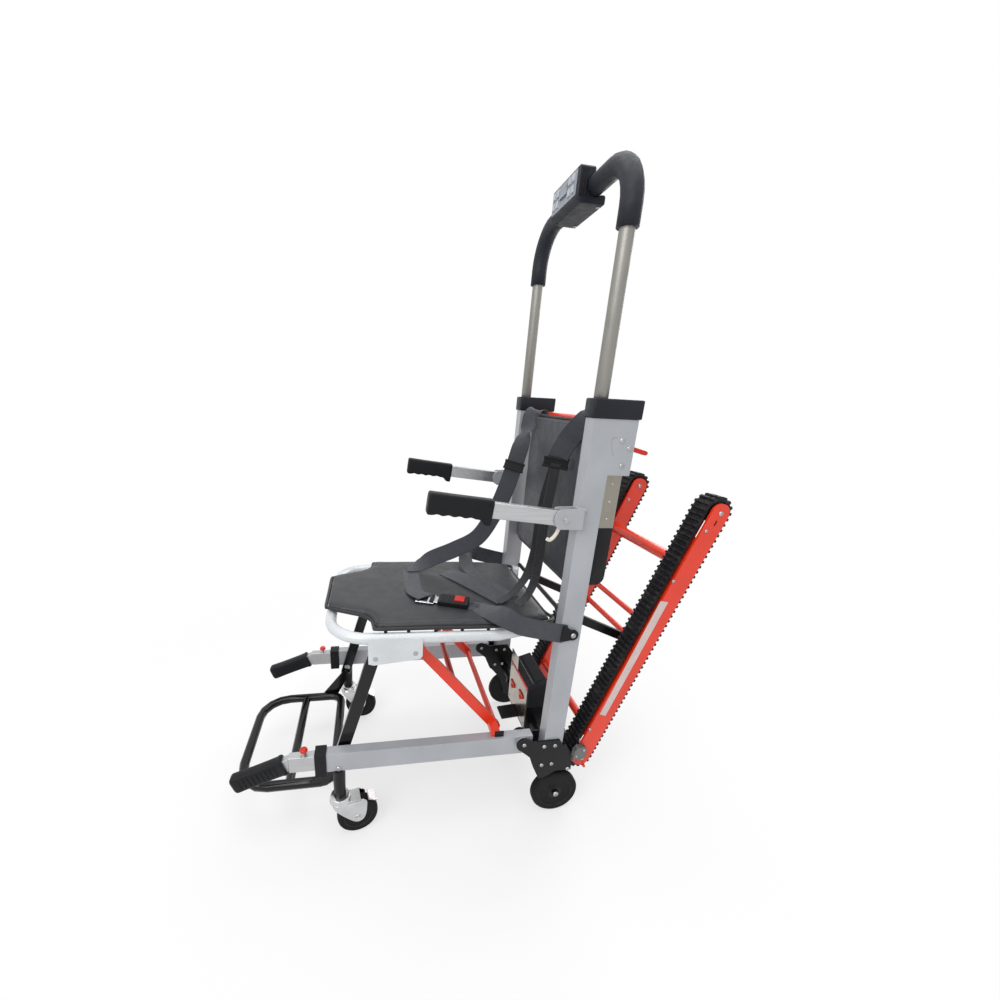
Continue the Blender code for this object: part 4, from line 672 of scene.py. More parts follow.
class Shape:
    """Points and faces of one piece, gathered before they become a mesh."""

    def __init__(self) -> None:
        """Starts empty."""
        self.points: list[Vector] = []
        self.faces: list[tuple[int, ...]] = []
        self.tags: list[int] = []
        self.spots: list[Pair] = []
        self.tag = 0

    def face(self, *corners: int) -> None:
        """Adds one face in the present finish."""
        self.faces.append(corners)
        self.tags.append(self.tag)

    def loft(
        self, rings: Sequence[Sequence[Vector]], wrap: bool = False,
        spots: Optional[Sequence[Sequence[Pair]]] = None,
    ) -> "Shape":
        """Skins a run of rings that have the same number of points.

        Args:
            rings: the rings, in order.
            wrap: Joins the last ring to the first, where both ends would else be closed.
            spots: the belt coordinates of the points.

        Returns:
            This shape.
        """
        base, count = len(self.points), len(rings[0])
        for index, ring in enumerate(rings):
            self.points.extend(ring)
            self.spots.extend(spots[index] if spots else [(0.0, 0.0)] * count)
        for index in range(len(rings) - (not wrap)):
            here, there = base + index * count, base + (index + 1) % len(rings) * count
            for k in range(count):
                n = (k + 1) % count
                self.face(here + k, here + n, there + n, there + k)
        if not wrap:
            last = base + (len(rings) - 1) * count
            self.face(*range(base + count - 1, base - 1, -1))
            self.face(*range(last, last + count))
        return self

    def lathe(
        self, centre: Vector, axis: Vector, profile: Sequence[Pair], steps: int = 32,
    ) -> "Shape":
        """Turns a profile of (radius, distance along the axis) about an axis.

        Args:
            centre: Centre of the turned shape.
            axis: Axis it turns about.
            profile: Pairs of radius and distance along the axis.
            steps: Faces round the axis.

        Returns:
            This shape.
        """
        axis = axis.normalized()
        first, second = ring_axes(axis)
        angles = [2 * math.pi * k / steps for k in range(steps)]
        return self.loft([
            [centre + axis * along + (first * math.cos(a) + second * math.sin(a)) * radius for a in angles]
            for radius, along in profile
        ])

    def tube(self, path: Sequence[Vector], radius: float, sides: int = 12, closed: bool = False) -> "Shape":
        """A round bar along a path.

        Args:
            path: Points along the middle line.
            radius: Radius in metres.
            sides: Sides of the section.
            closed: True for a ring.

        Returns:
            This shape.
        """
        count = len(path)
        rings: list[list[Vector]] = []
        side: Optional[Vector] = None
        for index, point in enumerate(path):
            ahead = path[(index + 1) % count] if closed else path[min(index + 1, count - 1)]
            behind = path[index - 1] if closed else path[max(index - 1, 0)]
            axis = (ahead - behind).normalized()
            side = axis.orthogonal() if side is None else side - axis * side.dot(axis)
            side = side.normalized()
            other = axis.cross(side)
            angles = [2 * math.pi * k / sides for k in range(sides)]
            rings.append([point + (side * math.cos(a) + other * math.sin(a)) * radius for a in angles])
        return self.loft(rings, wrap=closed)

    def strap(
        self, stations: Sequence[tuple[Vector, Vector]], width: float, thick: float = 0.0018,
    ) -> "Shape":
        """A flat belt along stations of (point, direction across the belt).

        Args:
            stations: Points and the directions of the strap's width there.
            width: Width in metres.
            thick: Thickness in metres.

        Returns:
            This shape.
        """
        path = spline([point for point, _ in stations], BELT_STEP)
        marks = distances(path)
        ways = self.spread([way.normalized() for _, way in stations], [point for point, _ in stations], path)
        half, edge = width / 2, thick * 0.5
        section = (
            (-half, 0.0), (-half + edge, 0.5), (-half / 3, 0.5), (half / 3, 0.5), (half - edge, 0.5),
            (half, 0.0), (half - edge, -0.5), (half / 3, -0.5), (-half / 3, -0.5), (-half + edge, -0.5),
        )
        rings, spots = [], []
        for index, point in enumerate(path):
            axis = (path[min(index + 1, len(path) - 1)] - path[max(index - 1, 0)]).normalized()
            way = (ways[index] - axis * ways[index].dot(axis)).normalized()
            normal = axis.cross(way)
            rings.append([point + way * u + normal * (v * thick) for u, v in section])
            spots.append([(u + half, marks[index]) for u, _ in section])
        return self.loft(rings, spots=spots)

    @staticmethod
    def spread(ways: Sequence[Vector], nodes: Sequence[Vector], path: Sequence[Vector]) -> list[Vector]:
        """Carries directions given at nodes smoothly along a finer path.

        Args:
            ways: Directions at the given points.
            nodes: The given points.
            path: Points along the middle line.

        Returns:
            A direction for each point of the path.
        """
        marks = [min(range(len(path)), key=lambda k: (path[k] - node).length) for node in nodes]
        marks[0], marks[-1] = 0, len(path) - 1
        spread = []
        for index in range(len(path)):
            after = next((k for k in range(1, len(marks)) if index <= marks[k]), len(marks) - 1)
            gap = max(marks[after] - marks[after - 1], 1)
            share = min(max((index - marks[after - 1]) / gap, 0.0), 1.0)
            share = share * share * (3 - 2 * share)
            spread.append(ways[after - 1].lerp(ways[after], share).normalized())
        return spread

    def plate(self, outline: Sequence[Pair], low: float, high: float, place: Place = PLAN) -> "Shape":
        """A flat plate: an outline of the side view, from one X to another."""
        return self.loft([[place.at(x, y, z) for y, z in outline] for x in (low, high)])

    def block(self, low: Triple, high: Triple, place: Place = PLAN) -> "Shape":
        """A box between two corners of a drawing frame."""
        outline = ((low[1], low[2]), (high[1], low[2]), (high[1], high[2]), (low[1], high[2]))
        return self.plate(outline, low[0], high[0], place)

    def slab(self, middle: Vector, across: Vector, along: Vector, size: Triple) -> "Shape":
        """A box set in any direction: its size is given across, along and through.

        Args:
            middle: Centre of the block.
            across: Direction of the width.
            along: Direction of the length.
            size: Width, length and thickness.

        Returns:
            This shape.
        """
        across = (across - along * across.dot(along) / along.length_squared).normalized()
        along = along.normalized()
        through = across.cross(along)
        w, l, t = (value / 2 for value in size)
        ring = ((-w, -l), (w, -l), (w, l), (-w, l))
        return self.loft([
            [middle + across * a + along * b + through * c for a, b in ring] for c in (-t, t)])

    def bolt(self, spot: Vector, way: Vector, radius: float, height: float,
             head: Head = Head.BUTTON) -> "Shape":
        """A fastener head standing on a surface.

        Args:
            spot: the middle of its seat.
            way: the direction that it stands in.
            radius: of the head.
            height: of the head.
            head: its kind.

        Returns:
            This shape.
        """
        r, h = radius, height
        if head is Head.BUTTON:
            dome = (
                (r, 0.0), (r, 0.25 * h), (0.93 * r, 0.55 * h), (0.74 * r, 0.84 * h), (0.5 * r, h),
                (0.45 * r, 0.96 * h), (0.42 * r, 0.5 * h),
            )
            return self.lathe(spot, way, dome, 20)
        if head is Head.FLAT:
            disc = ((r, 0.0), (r, 0.7 * h), (0.94 * r, h), (0.45 * r, h), (0.42 * r, 0.3 * h))
            return self.lathe(spot, way, disc, 24)
        washer = ((1.45 * r, 0.0), (1.45 * r, 0.16 * h), (1.36 * r, 0.24 * h), (0.9 * r, 0.24 * h))
        self.lathe(spot, way, washer, 24)
        return self.lathe(spot, way, ((r, 0.2 * h), (r, 0.86 * h), (0.86 * r, h), (0.3 * r, h)), 6)

    def mesh(self, name: str, smooth: float = HARD_ANGLE) -> bpy.types.Mesh:
        """Makes the mesh, with outward faces and hard edges where it turns sharply.

        Args:
            name: Name of the piece.
            smooth: Angle under which edges are smooth.

        Returns:
            The new mesh.
        """
        mesh = bpy.data.meshes.new(name)
        mesh.from_pydata(self.points, [], self.faces)
        mesh.polygons.foreach_set("material_index", self.tags)
        if any(spot != (0.0, 0.0) for spot in self.spots):
            layer = mesh.uv_layers.new(name="belt")
            for loop in mesh.loops:
                layer.data[loop.index].uv = self.spots[loop.vertex_index]
        work = bmesh.new()
        work.from_mesh(mesh)
        bmesh.ops.recalc_face_normals(work, faces=work.faces)
        work.to_mesh(mesh)
        work.free()
        mesh.polygons.foreach_set("use_smooth", [True] * len(mesh.polygons))
        mesh.set_sharp_from_angle(angle=math.radians(smooth))
        return mesh

    def place(
        self, name: str, *finishes: Finish, edge: float = 0.0, smooth: float = HARD_ANGLE,
    ) -> bpy.types.Object:
        """Makes the object, not yet riding on a body.

        Args:
            name: the piece's name.
            finishes: the finish of each tag, in order.
            edge: the width of its eased edges.
            smooth: the angle above which an edge stays hard.

        Returns:
            The new object.
        """
        piece = bpy.data.objects.new(name, self.mesh(name, smooth))
        bpy.context.scene.collection.objects.link(piece)
        for finish in finishes:
            piece.data.materials.append(material_of(finish))
        if edge:
            ease_edges(piece, edge)
        return piece

    def build(
        self, name: str, body: str, *finishes: Finish, edge: float = 0.0,
        stands_for: Sequence[str] = (), smooth: float = HARD_ANGLE,
    ) -> bpy.types.Object:
        """Makes the object and lets it ride on a body, in place of CAD nodes where they are named.

        Args:
            name: Name of the piece.
            body: Body that the piece rides on.
            edge: Width of the eased edges.
            stands_for: Nodes that the piece replaces.
            smooth: Angle under which edges are smooth.
            finishes: Finishes in the order of the face tags.

        Returns:
            The new piece.
        """
        piece = self.place(name, *finishes, edge=edge, smooth=smooth)
        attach(piece, body)
        if stands_for:
            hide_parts(*stands_for)
        LOG.info("%s rides on %s", name, body)
        return piece


def ease_edges(piece: bpy.types.Object, width: float) -> None:
    """Rounds an object's sharp edges a little and evens its shading.

    Args:
        piece: The piece to work on.
        width: Width of the eased edge.
    """
    bevel = piece.modifiers.new("eased_edges", "BEVEL")
    bevel.width = width
    bevel.segments = 2
    bevel.limit_method = "ANGLE"
    bevel.angle_limit = math.radians(40)
    piece.modifiers.new("even_shading", "WEIGHTED_NORMAL").keep_sharp = True


def dress(finish: Finish, *names: str, edge: float = 0.0007) -> None:
    """Gives CAD nodes their finish, eased edges and smooth shading.

    Args:
        finish: the surface finish.
        names: the nodes.
        edge: the width of the eased edges, 0 for none.
    """
    for name in names:
        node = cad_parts[name]
        node.data.materials.clear()
        node.data.materials.append(material_of(finish))
        for key in ("custom_normal", "sharp_edge"):
            if key in node.data.attributes:
                node.data.attributes.remove(node.data.attributes[key])
        node.data.polygons.foreach_set("use_smooth", [True] * len(node.data.polygons))
        weld = node.modifiers.new("weld", "WELD")
        weld.merge_threshold = WELD_DISTANCE
        flat = node.modifiers.new("flat_faces", "DECIMATE")
        flat.decimate_type = "DISSOLVE"
        flat.angle_limit = math.radians(0.4)
        if edge:
            ease_edges(node, edge)
        LOG.info("%s dressed in %s", name, type(finish).__name__)


@dataclass
class SoftPanel:
    """Padded cloth, swelled from its CAD solid by a short cloth run."""

    node: str
    name: str
    body: str
    finish: Finish
    out: Triple
    voxel: float = 0.005
    swell: float = 0.0035
    frames: int = 16
    fill: float = 0.4

    def make(self) -> bpy.types.Object:
        """Builds the panel.

        Returns:
            The panel, riding on its body in place of its node.
        """
        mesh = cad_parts[self.node].data.copy()
        mesh.materials.clear()
        mesh.materials.append(material_of(self.finish))
        work = bmesh.new()
        work.from_mesh(mesh)
        bmesh.ops.remove_doubles(work, verts=work.verts, dist=WELD_DISTANCE)
        work.to_mesh(mesh)
        work.free()
        panel = bpy.data.objects.new(self.name, mesh)
        bpy.context.scene.collection.objects.link(panel)
        grid = panel.modifiers.new("grid", "REMESH")
        grid.mode, grid.voxel_size = "VOXEL", self.voxel
        ease = panel.modifiers.new("ease", "SMOOTH")
        ease.factor, ease.iterations = 0.5, 4
        self.apply(panel)
        self.swell_out(panel)
        panel.data.polygons.foreach_set("use_smooth", [True] * len(panel.data.polygons))
        soft = panel.modifiers.new("soft", "SUBSURF")
        soft.levels = soft.render_levels = 1
        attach(panel, self.body)
        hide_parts(self.node)
        LOG.info("%s padded", self.name)
        return panel

    @staticmethod
    def apply(panel: bpy.types.Object) -> None:
        """Fixes the modifiers into the panel's mesh.

        Args:
            panel: The padded panel.
        """
        shown = panel.evaluated_get(bpy.context.evaluated_depsgraph_get())
        mesh = bpy.data.meshes.new_from_object(shown)
        panel.modifiers.clear()
        panel.data = mesh

    def swell_out(self, panel: bpy.types.Object) -> None:
        """Swells the cloth under light pressure, and keeps its back flat.

        Args:
            panel: The padded panel.
        """
        rest = [vertex.co.copy() for vertex in panel.data.vertices]
        moved = self.pressed(panel)
        out = Vector(self.out).normalized()
        for vertex, start, end in zip(panel.data.vertices, rest, moved):
            step = end - start
            if step.length > self.swell:
                step = step * (self.swell / step.length)
            if step.dot(out) < 0:
                step = step - out * step.dot(out)
            ripple = noise.noise(start * 14.0) * 0.0009 + noise.noise(start * 37.0) * 0.0003
            vertex.co = start + step + out * (ripple if step.dot(out) > 0 else 0.0)
        panel.data.update()

    def pressed(self, panel: bpy.types.Object) -> list[Vector]:
        """Runs the cloth and gives back where its points went.

        Args:
            panel: The padded panel.

        Returns:
            The points of the panel after pressing.
        """
        cloth = panel.modifiers.new("cloth", "CLOTH")
        cloth.settings.use_pressure = True
        cloth.settings.uniform_pressure_force = 4.0
        cloth.settings.effector_weights.gravity = 0.0
        cloth.settings.quality = 4
        cloth.point_cache.frame_end = self.frames
        scene = bpy.context.scene
        for step in range(1, self.frames + 1):
            scene.frame_set(step)
        shown = panel.evaluated_get(bpy.context.evaluated_depsgraph_get())
        moved = [vertex.co.copy() for vertex in shown.data.vertices]
        panel.modifiers.clear()
        scene.frame_set(1)
        return moved


class Surface:
    """Finds points on a piece's outer face."""

    def __init__(self, piece: bpy.types.Object) -> None:
        """Reads the piece as it stands."""
        depsgraph = bpy.context.evaluated_depsgraph_get()
        self.tree = BVHTree.FromObject(piece, depsgraph)

    def drop(self, start: Vector, way: Vector, fallback: Vector) -> Vector:
        """The first point of the piece along a line, or the fallback where it has none."""
        hit = self.tree.ray_cast(start, way.normalized())[0]
        return hit if hit is not None else fallback


def stitches(path: Sequence[Vector], up: Vector, length: float = 0.0046, gap: float = 0.0022) -> Shape:
    """A row of thread stitches lying along a path.

    Args:
        path: the seam's points, close together.
        up: the direction that the thread arches in.
        length: of one stitch.
        gap: between two stitches.

    Returns:
        The shape of the row.
    """
    row = Shape()
    marks = distances(path)

    def along(mark: float) -> Vector:
        """The path's point at a distance from its start.

        Args:
            mark: Distance along the path.

        Returns:
            The point there.
        """
        last = len(marks) - 1
        index = min(max(next((k for k, m in enumerate(marks) if m >= mark), last), 1), last)
        share = (mark - marks[index - 1]) / max(marks[index] - marks[index - 1], 1e-9)
        return path[index - 1].lerp(path[index], min(max(share, 0.0), 1.0))

    start = gap
    while start + length < marks[-1]:
        arch = [(0.0, -0.0004), (0.2, 0.0002), (0.8, 0.0002), (1.0, -0.0004)]
        row.tube([along(start + length * t) + up * rise for t, rise in arch], 0.00045, 6)
        start += length + gap
    return row


def rounded(half_x: float, top: float, low: float, power: float, steps: int = 28) -> list[Pair]:
    """A soft-cornered section as (x, z), with its own height above and below the middle.

    Args:
        half_x: Half of the width.
        top: Height above the middle.
        low: Depth below the middle.
        power: How square the section is; 2 is an ellipse.
        steps: Points round the section.

    Returns:
        Points of the section.
    """
    section = []
    for k in range(steps):
        angle = 2 * math.pi * k / steps
        c, s = math.cos(angle), math.sin(angle)
        x = half_x * math.copysign(abs(c) ** (2 / power), c)
        z = math.copysign(abs(s) ** (2 / power), s)
        section.append((x, z * (top if z > 0 else low)))
    return section


# ---------------------------------------------------------------- the back frame


@dataclass
class BackFrame:
    """Uprights with their caps, screws and lock plates, the top bar and the cloth back."""

    outer_x: float = 0.227
    plate_x: Pair = (0.2005, 0.2215)
    plate_depth: Pair = (0.0478, 0.0838)
    plate_height: Pair = (0.7858, 0.8975)
    screw_radius: float = 0.0056
    screw_spots: tuple[Pair, ...] = ((0.650, 0.966), (0.668, 0.951), (0.657, 0.916))
    seam: tuple[Pair, ...] = (
        (0.639, 0.972), (0.630, 0.971), (0.627, 0.966), (0.632, 0.940), (0.637, 0.938),
    )
    arm_spot: Pair = (0.545, 0.809)
    arm_plate_x: float = 0.2408

    def build(self) -> None:
        """Dresses the frame and adds its fittings."""
        dress(SILVER, "upright_left", "upright_right", edge=0.0016)
        dress(CAP_PLASTIC, "cap_left", "cap_right", edge=0.0)
        dress(BLACK_PLASTIC, "lock_cover_left", "lock_cover_right", edge=0.0)
        dress(RED, "top_tube")
        for side, tag in SIDES:
            self.screws(side, tag)
            self.lock_plate(side, tag)
        self.panel()
        self.hook()

    def screws(self, side: int, tag: str) -> None:
        """Screws and the edge seam of the head block, and the arm bracket's bolt.

        Args:
            side: One for left, minus one for right.
            tag: Left or right, for the name.
        """
        way = Vector((side, 0, 0))
        row = Shape()
        for y, z in self.screw_spots:
            row.bolt(PLAN.at(side * (self.outer_x - 0.0004), y, z), way, self.screw_radius, 0.0022)
        row.bolt(PLAN.at(side * (self.arm_plate_x - 0.0002), *self.arm_spot), way, 0.0062, 0.0042, Head.HEX)
        row.bolt(PLAN.at(side * (self.outer_x - 0.0004), 0.5935, 0.8235), way, 0.0034, 0.0018)
        row.build(f"head_screws_{tag}", "chair", BOLT_STEEL)
        line = [PLAN.at(side * (self.outer_x - 0.0002), y, z) for y, z in self.seam]
        Shape().tube(spline(line, 0.003), 0.0005, 6).build(f"head_seam_{tag}", "chair", SEAM_GREY)

    def lock_plate(self, side: int, tag: str) -> None:
        """The stainless sheet folded round the handle lock, with its rivets.

        Args:
            side: One for left, minus one for right.
            tag: Left or right, for the name.
        """
        low_x, high_x = self.plate_x
        near, far = self.plate_depth
        low, high = self.plate_height
        thick = 0.0006
        sheet = Shape()
        outline = (
            (low_x, near), (low_x, far), (high_x, far), (high_x, near),
            (high_x - thick, near), (high_x - thick, far - thick), (low_x + thick, far - thick),
            (low_x + thick, near),
        )
        sheet.loft([[BACK.at(side * x, depth, height) for x, depth in outline] for height in (low, high)])
        sheet.tag = 1
        for height in (0.805, 0.842, 0.880):
            sheet.bolt(BACK.at(side * high_x, 0.066, height), Vector((side, 0, 0)), 0.0028, 0.0014)
        sheet.build(f"lock_plate_{tag}", "chair", STAINLESS, BOLT_STEEL, smooth=30.0)

    @staticmethod
    def hook() -> None:
        """The pale hook under the left arm bracket."""
        curve = (
            (0.5430, 0.7990), (0.5400, 0.7860), (0.5355, 0.7745), (0.5295, 0.7655), (0.5225, 0.7605),
            (0.5165, 0.7635),
        )
        line = spline([PLAN.at(0.2235, y, z) for y, z in curve], 0.003)
        Shape().tube(line, 0.0040, 12).build("strap_hook", "chair", CREAM_PLASTIC)

    def panel(self) -> None:
        """The padded cloth back, its bound edge and its seam."""
        panel = SoftPanel("back_panel", "back_cushion", "chair", BACK_CLOTH, tuple(BACK.way(0, -1, 0))).make()
        outline = self.panel_outline(0.0)
        path = spline([BACK.at(x, 0.0315, z) for x, z in outline + outline[:1]], 0.006)[:-1]
        Shape().tube(path, 0.0036, 8, closed=True).build("back_binding", "chair", PIPING)
        surface = Surface(panel)
        inner = self.panel_outline(-0.011)
        seam = [BACK.at(x, 0.0, z) for x, z in inner + inner[:1]]
        dropped = [
            surface.drop(point, BACK.way(0, 1, 0), point + BACK.way(0, 1, 0) * 0.022)
            for point in spline(seam, SEAM_STEP)
        ]
        stitches(dropped, BACK.way(0, -1, 0)).build("back_stitching", "chair", THREAD)

    @staticmethod
    def panel_outline(grow: float) -> list[Pair]:
        """The back's outline as (x, height), grown outwards.

        Args:
            grow: How far the outline is moved outwards.

        Returns:
            Points of the outline.
        """
        half = [
            (0.0, 0.632 - grow), (0.110, 0.632 - grow), (0.168, 0.6325 - grow), (0.186 + grow, 0.640 - grow),
            (0.1925 + grow, 0.660), (0.1915 + grow, 0.682 + grow), (0.174 + grow, 0.699 + grow),
            (0.158 + grow, 0.715 + grow), (0.156 + grow, 0.745), (0.156 + grow, 0.86),
            (0.156 + grow, 0.964), (0.148 + grow, 0.988 + grow), (0.128, 0.999 + grow), (0.0, 0.999 + grow),
        ]
        return half + [(-x, z) for x, z in reversed(half[1:-1])]


# ---------------------------------------------------------------- the push handle


@dataclass
class PushHandle:
    """The telescopic handle, its foam and the control box with its rocker."""

    face: float = -0.022
    key_width: float = 0.011

    def build(self) -> None:
        """Dresses the handle and adds the control box's keys and ribs."""
        dress(POST_METAL, "handle_tube", edge=0.0)
        dress(HANDLE_FOAM, "handle_foam", edge=0.0)
        dress(CAP_PLASTIC, "control_box", edge=0.0006)
        dress(GREY_PLASTIC, "rocker_switch", edge=0.0008)
        dress(RED_PLASTIC, "handle_lever_left", "handle_lever_right", edge=0.0012)
        self.key_plate()
        self.end_ribs()

    def key_plate(self) -> None:
        """The grey key plate with raised keys on both sides of the rocker."""
        plate = Shape()
        plate.block((-0.058, self.face - 0.0012, 1.430), (0.058, self.face + 0.001, 1.474), BACK)
        plate.tag = 1
        for x in (-0.046, -0.029, 0.029, 0.046):
            for height in (1.4365, 1.4565):
                plate.block(
                    (x - self.key_width / 2, self.face - 0.0042, height),
                    (x + self.key_width / 2, self.face, height + 0.013), BACK)
        plate.build("control_keys", "push_handle", GREY_PLASTIC, PALE_PLASTIC, edge=0.0009)

    def end_ribs(self) -> None:
        """Raised ribs on the ends of the control box, and its clamp screws."""
        ribs = Shape()
        for side, _ in SIDES:
            x = side * 0.065
            for depth in (-0.017, -0.0115, -0.006):
                low, high = sorted((x - side * 0.001, x + side * 0.0014))
                ribs.block((low, depth, 1.428), (high, depth + 0.0028, 1.474), BACK)
        ribs.build("control_ribs", "push_handle", BLACK_PLASTIC, edge=0.0005)
        screws = Shape()
        for x in (-0.052, 0.052):
            screws.bolt(BACK.at(x, 0.032, 1.4158), BACK.way(0, 0, -1), 0.0038, 0.0022)
        screws.build("control_screws", "push_handle", BOLT_STEEL)


# ---------------------------------------------------------------- armrests


@dataclass
class Armrest:
    """One folding armrest: a flat bar and a moulded grip."""

    side: int
    tag: str
    pivot: Pair = (0.545, 0.809)
    rise: float = 7.0
    x: float = 0.2275
    start: float = 0.1533
    end: float = 0.2835

    def at(self, x: float, along: float, up: float) -> Vector:
        """A point beside the arm, measured forward from its pivot."""
        place = Place(self.pivot[0], self.pivot[1], self.rise, self.side * self.x)
        return place.at(x, -along, up)

    def build(self) -> None:
        """Dresses the bar and moulds the grip."""
        dress(BAR_METAL, f"arm_bar_{self.tag}", edge=0.0018)
        self.grip()

    def grip(self) -> None:
        """The grip: flat topped, with finger waves below and a guard at the root."""
        length = self.end - self.start
        stations = [(0.0, 0.90), (0.0006, 0.97), (0.002, 1.0)]
        stations += [(0.002 + (length - 0.006) * k / 48, 1.0) for k in range(1, 49)]
        for angle in (25, 50, 72, 86):
            turn = math.radians(angle)
            stations.append((length - 0.004 + 0.004 * math.sin(turn), 0.72 + 0.28 * math.cos(turn)))
        rings = []
        for share, size in stations:
            wave = 0.0
            if 0.030 < share < length - 0.010:
                wave = 0.0012 * (1 - math.cos(2 * math.pi * 4 * (share - 0.030) / (length - 0.040)))
            guard = 0.0105 / (1 + math.exp((share - 0.0165) / 0.0022))
            swell = 0.0012 * (share / length) ** 2
            below = 0.0212 + swell
            section = rounded(0.0132 * size, below * size, (below + guard - wave) * size, 7.0)
            rings.append([self.at(x, self.start + share, z) for x, z in section])
        grip = Shape().loft(rings)
        for way in (1, -1):
            grip.lathe(self.at(way * 0.0128, self.start + 0.010, 0.012), Vector((way, 0, 0)), (
                (0.0030, 0.0), (0.0030, 0.0012), (0.0016, 0.0016), (0.0012, 0.0004)), 16)
        grip.build(
            f"moulded_grip_{self.tag}", f"armrest_{self.tag}", GRIP_RUBBER,
            stands_for=[f"arm_grip_{self.tag}"], smooth=50.0)


# ---------------------------------------------------------------- the seat


@dataclass
class SeatAssembly:
    """The seat tube with its side plates and the cloth seat."""

    pad_level: float = 0.0128
    pad_top: float = 0.0273
    above: float = 0.06
    bolt_x: float = 0.2125
    bolt_spots: tuple[Pair, ...] = ((0.161, 0.491), (0.248, 0.500))

    def build(self) -> None:
        """Dresses the tube, then makes the cloth and the bolts."""
        dress(PALE, "seat_frame", edge=0.0008)
        pad = SoftPanel("seat_pad", "seat_cushion", "seat", SEAT_CLOTH, tuple(SEAT.way(0, 0, 1))).make()
        self.binding()
        self.seam(pad)
        self.bolts()
        self.snaps()

    @staticmethod
    def outline(grow: float) -> list[Pair]:
        """The seat's outline as (x, reach), grown outwards.

        Args:
            grow: How far the outline is moved outwards.

        Returns:
            Points of the outline.
        """
        half = [
            (0.0, 0.030 - grow), (0.120, 0.030 - grow), (0.172 + grow, 0.030 - grow), (0.193 + grow, 0.165),
            (0.193 + grow, 0.300), (0.193 + grow, 0.432), (0.184 + grow, 0.445 + grow),
            (0.156 + grow, 0.450 + grow), (0.132 + grow, 0.468 + grow), (0.117 + grow, 0.497),
            (0.103 + grow, 0.527), (0.088 + grow, 0.551), (0.078, 0.557 + grow), (0.0, 0.557 + grow),
        ]
        return half + [(-x, reach) for x, reach in reversed(half[1:-1])]

    def binding(self) -> None:
        """The bound edge that runs round the cloth."""
        level = self.pad_level + 0.0064
        ring = self.outline(-0.0006)
        path = spline([SEAT.at(x, -reach, level) for x, reach in ring + ring[:1]], 0.006)[:-1]
        Shape().tube(path, 0.0042, 8, closed=True).build("seat_binding", "seat", PIPING)

    def seam(self, pad: bpy.types.Object) -> None:
        """The thread seam inside the bound edge.

        Args:
            pad: The padded piece.
        """
        surface = Surface(pad)
        ring = self.outline(-0.011)
        line = spline([SEAT.at(x, -reach, self.above) for x, reach in ring + ring[:1]], SEAM_STEP)
        down = SEAT.way(0, 0, -1)
        fall = down * (self.above - self.pad_top)
        dropped = [surface.drop(point, down, point + fall) for point in line]
        stitches(dropped, SEAT.way(0, 0, 1)).build("seat_stitching", "seat", THREAD)

    def bolts(self) -> None:
        """Flush pivot bolts on the seat's side plates, which pass close by the arm grips."""
        row = Shape()
        for side, _ in SIDES:
            for y, z in self.bolt_spots:
                spot = PLAN.at(side * (self.bolt_x - 0.0002), y, z)
                row.bolt(spot, Vector((side, 0, 0)), 0.0058, 0.0007, Head.FLAT)
        row.build("seat_bolts", "seat", BOLT_STEEL)

    def snaps(self) -> None:
        """Press studs that hold the cloth along both side tubes."""
        row = Shape()
        for side, _ in SIDES:
            for reach in (0.19, 0.25, 0.31, 0.37, 0.42):
                spot = SEAT.at(side * 0.1968, -reach, 0.0150)
                row.bolt(spot, SEAT.way(side, 0, 0.25), 0.0040, 0.0016)
        row.build("seat_studs", "seat", SATIN_BLACK)


# ---------------------------------------------------------------- the harness


Stations = list[tuple[Vector, Vector]]


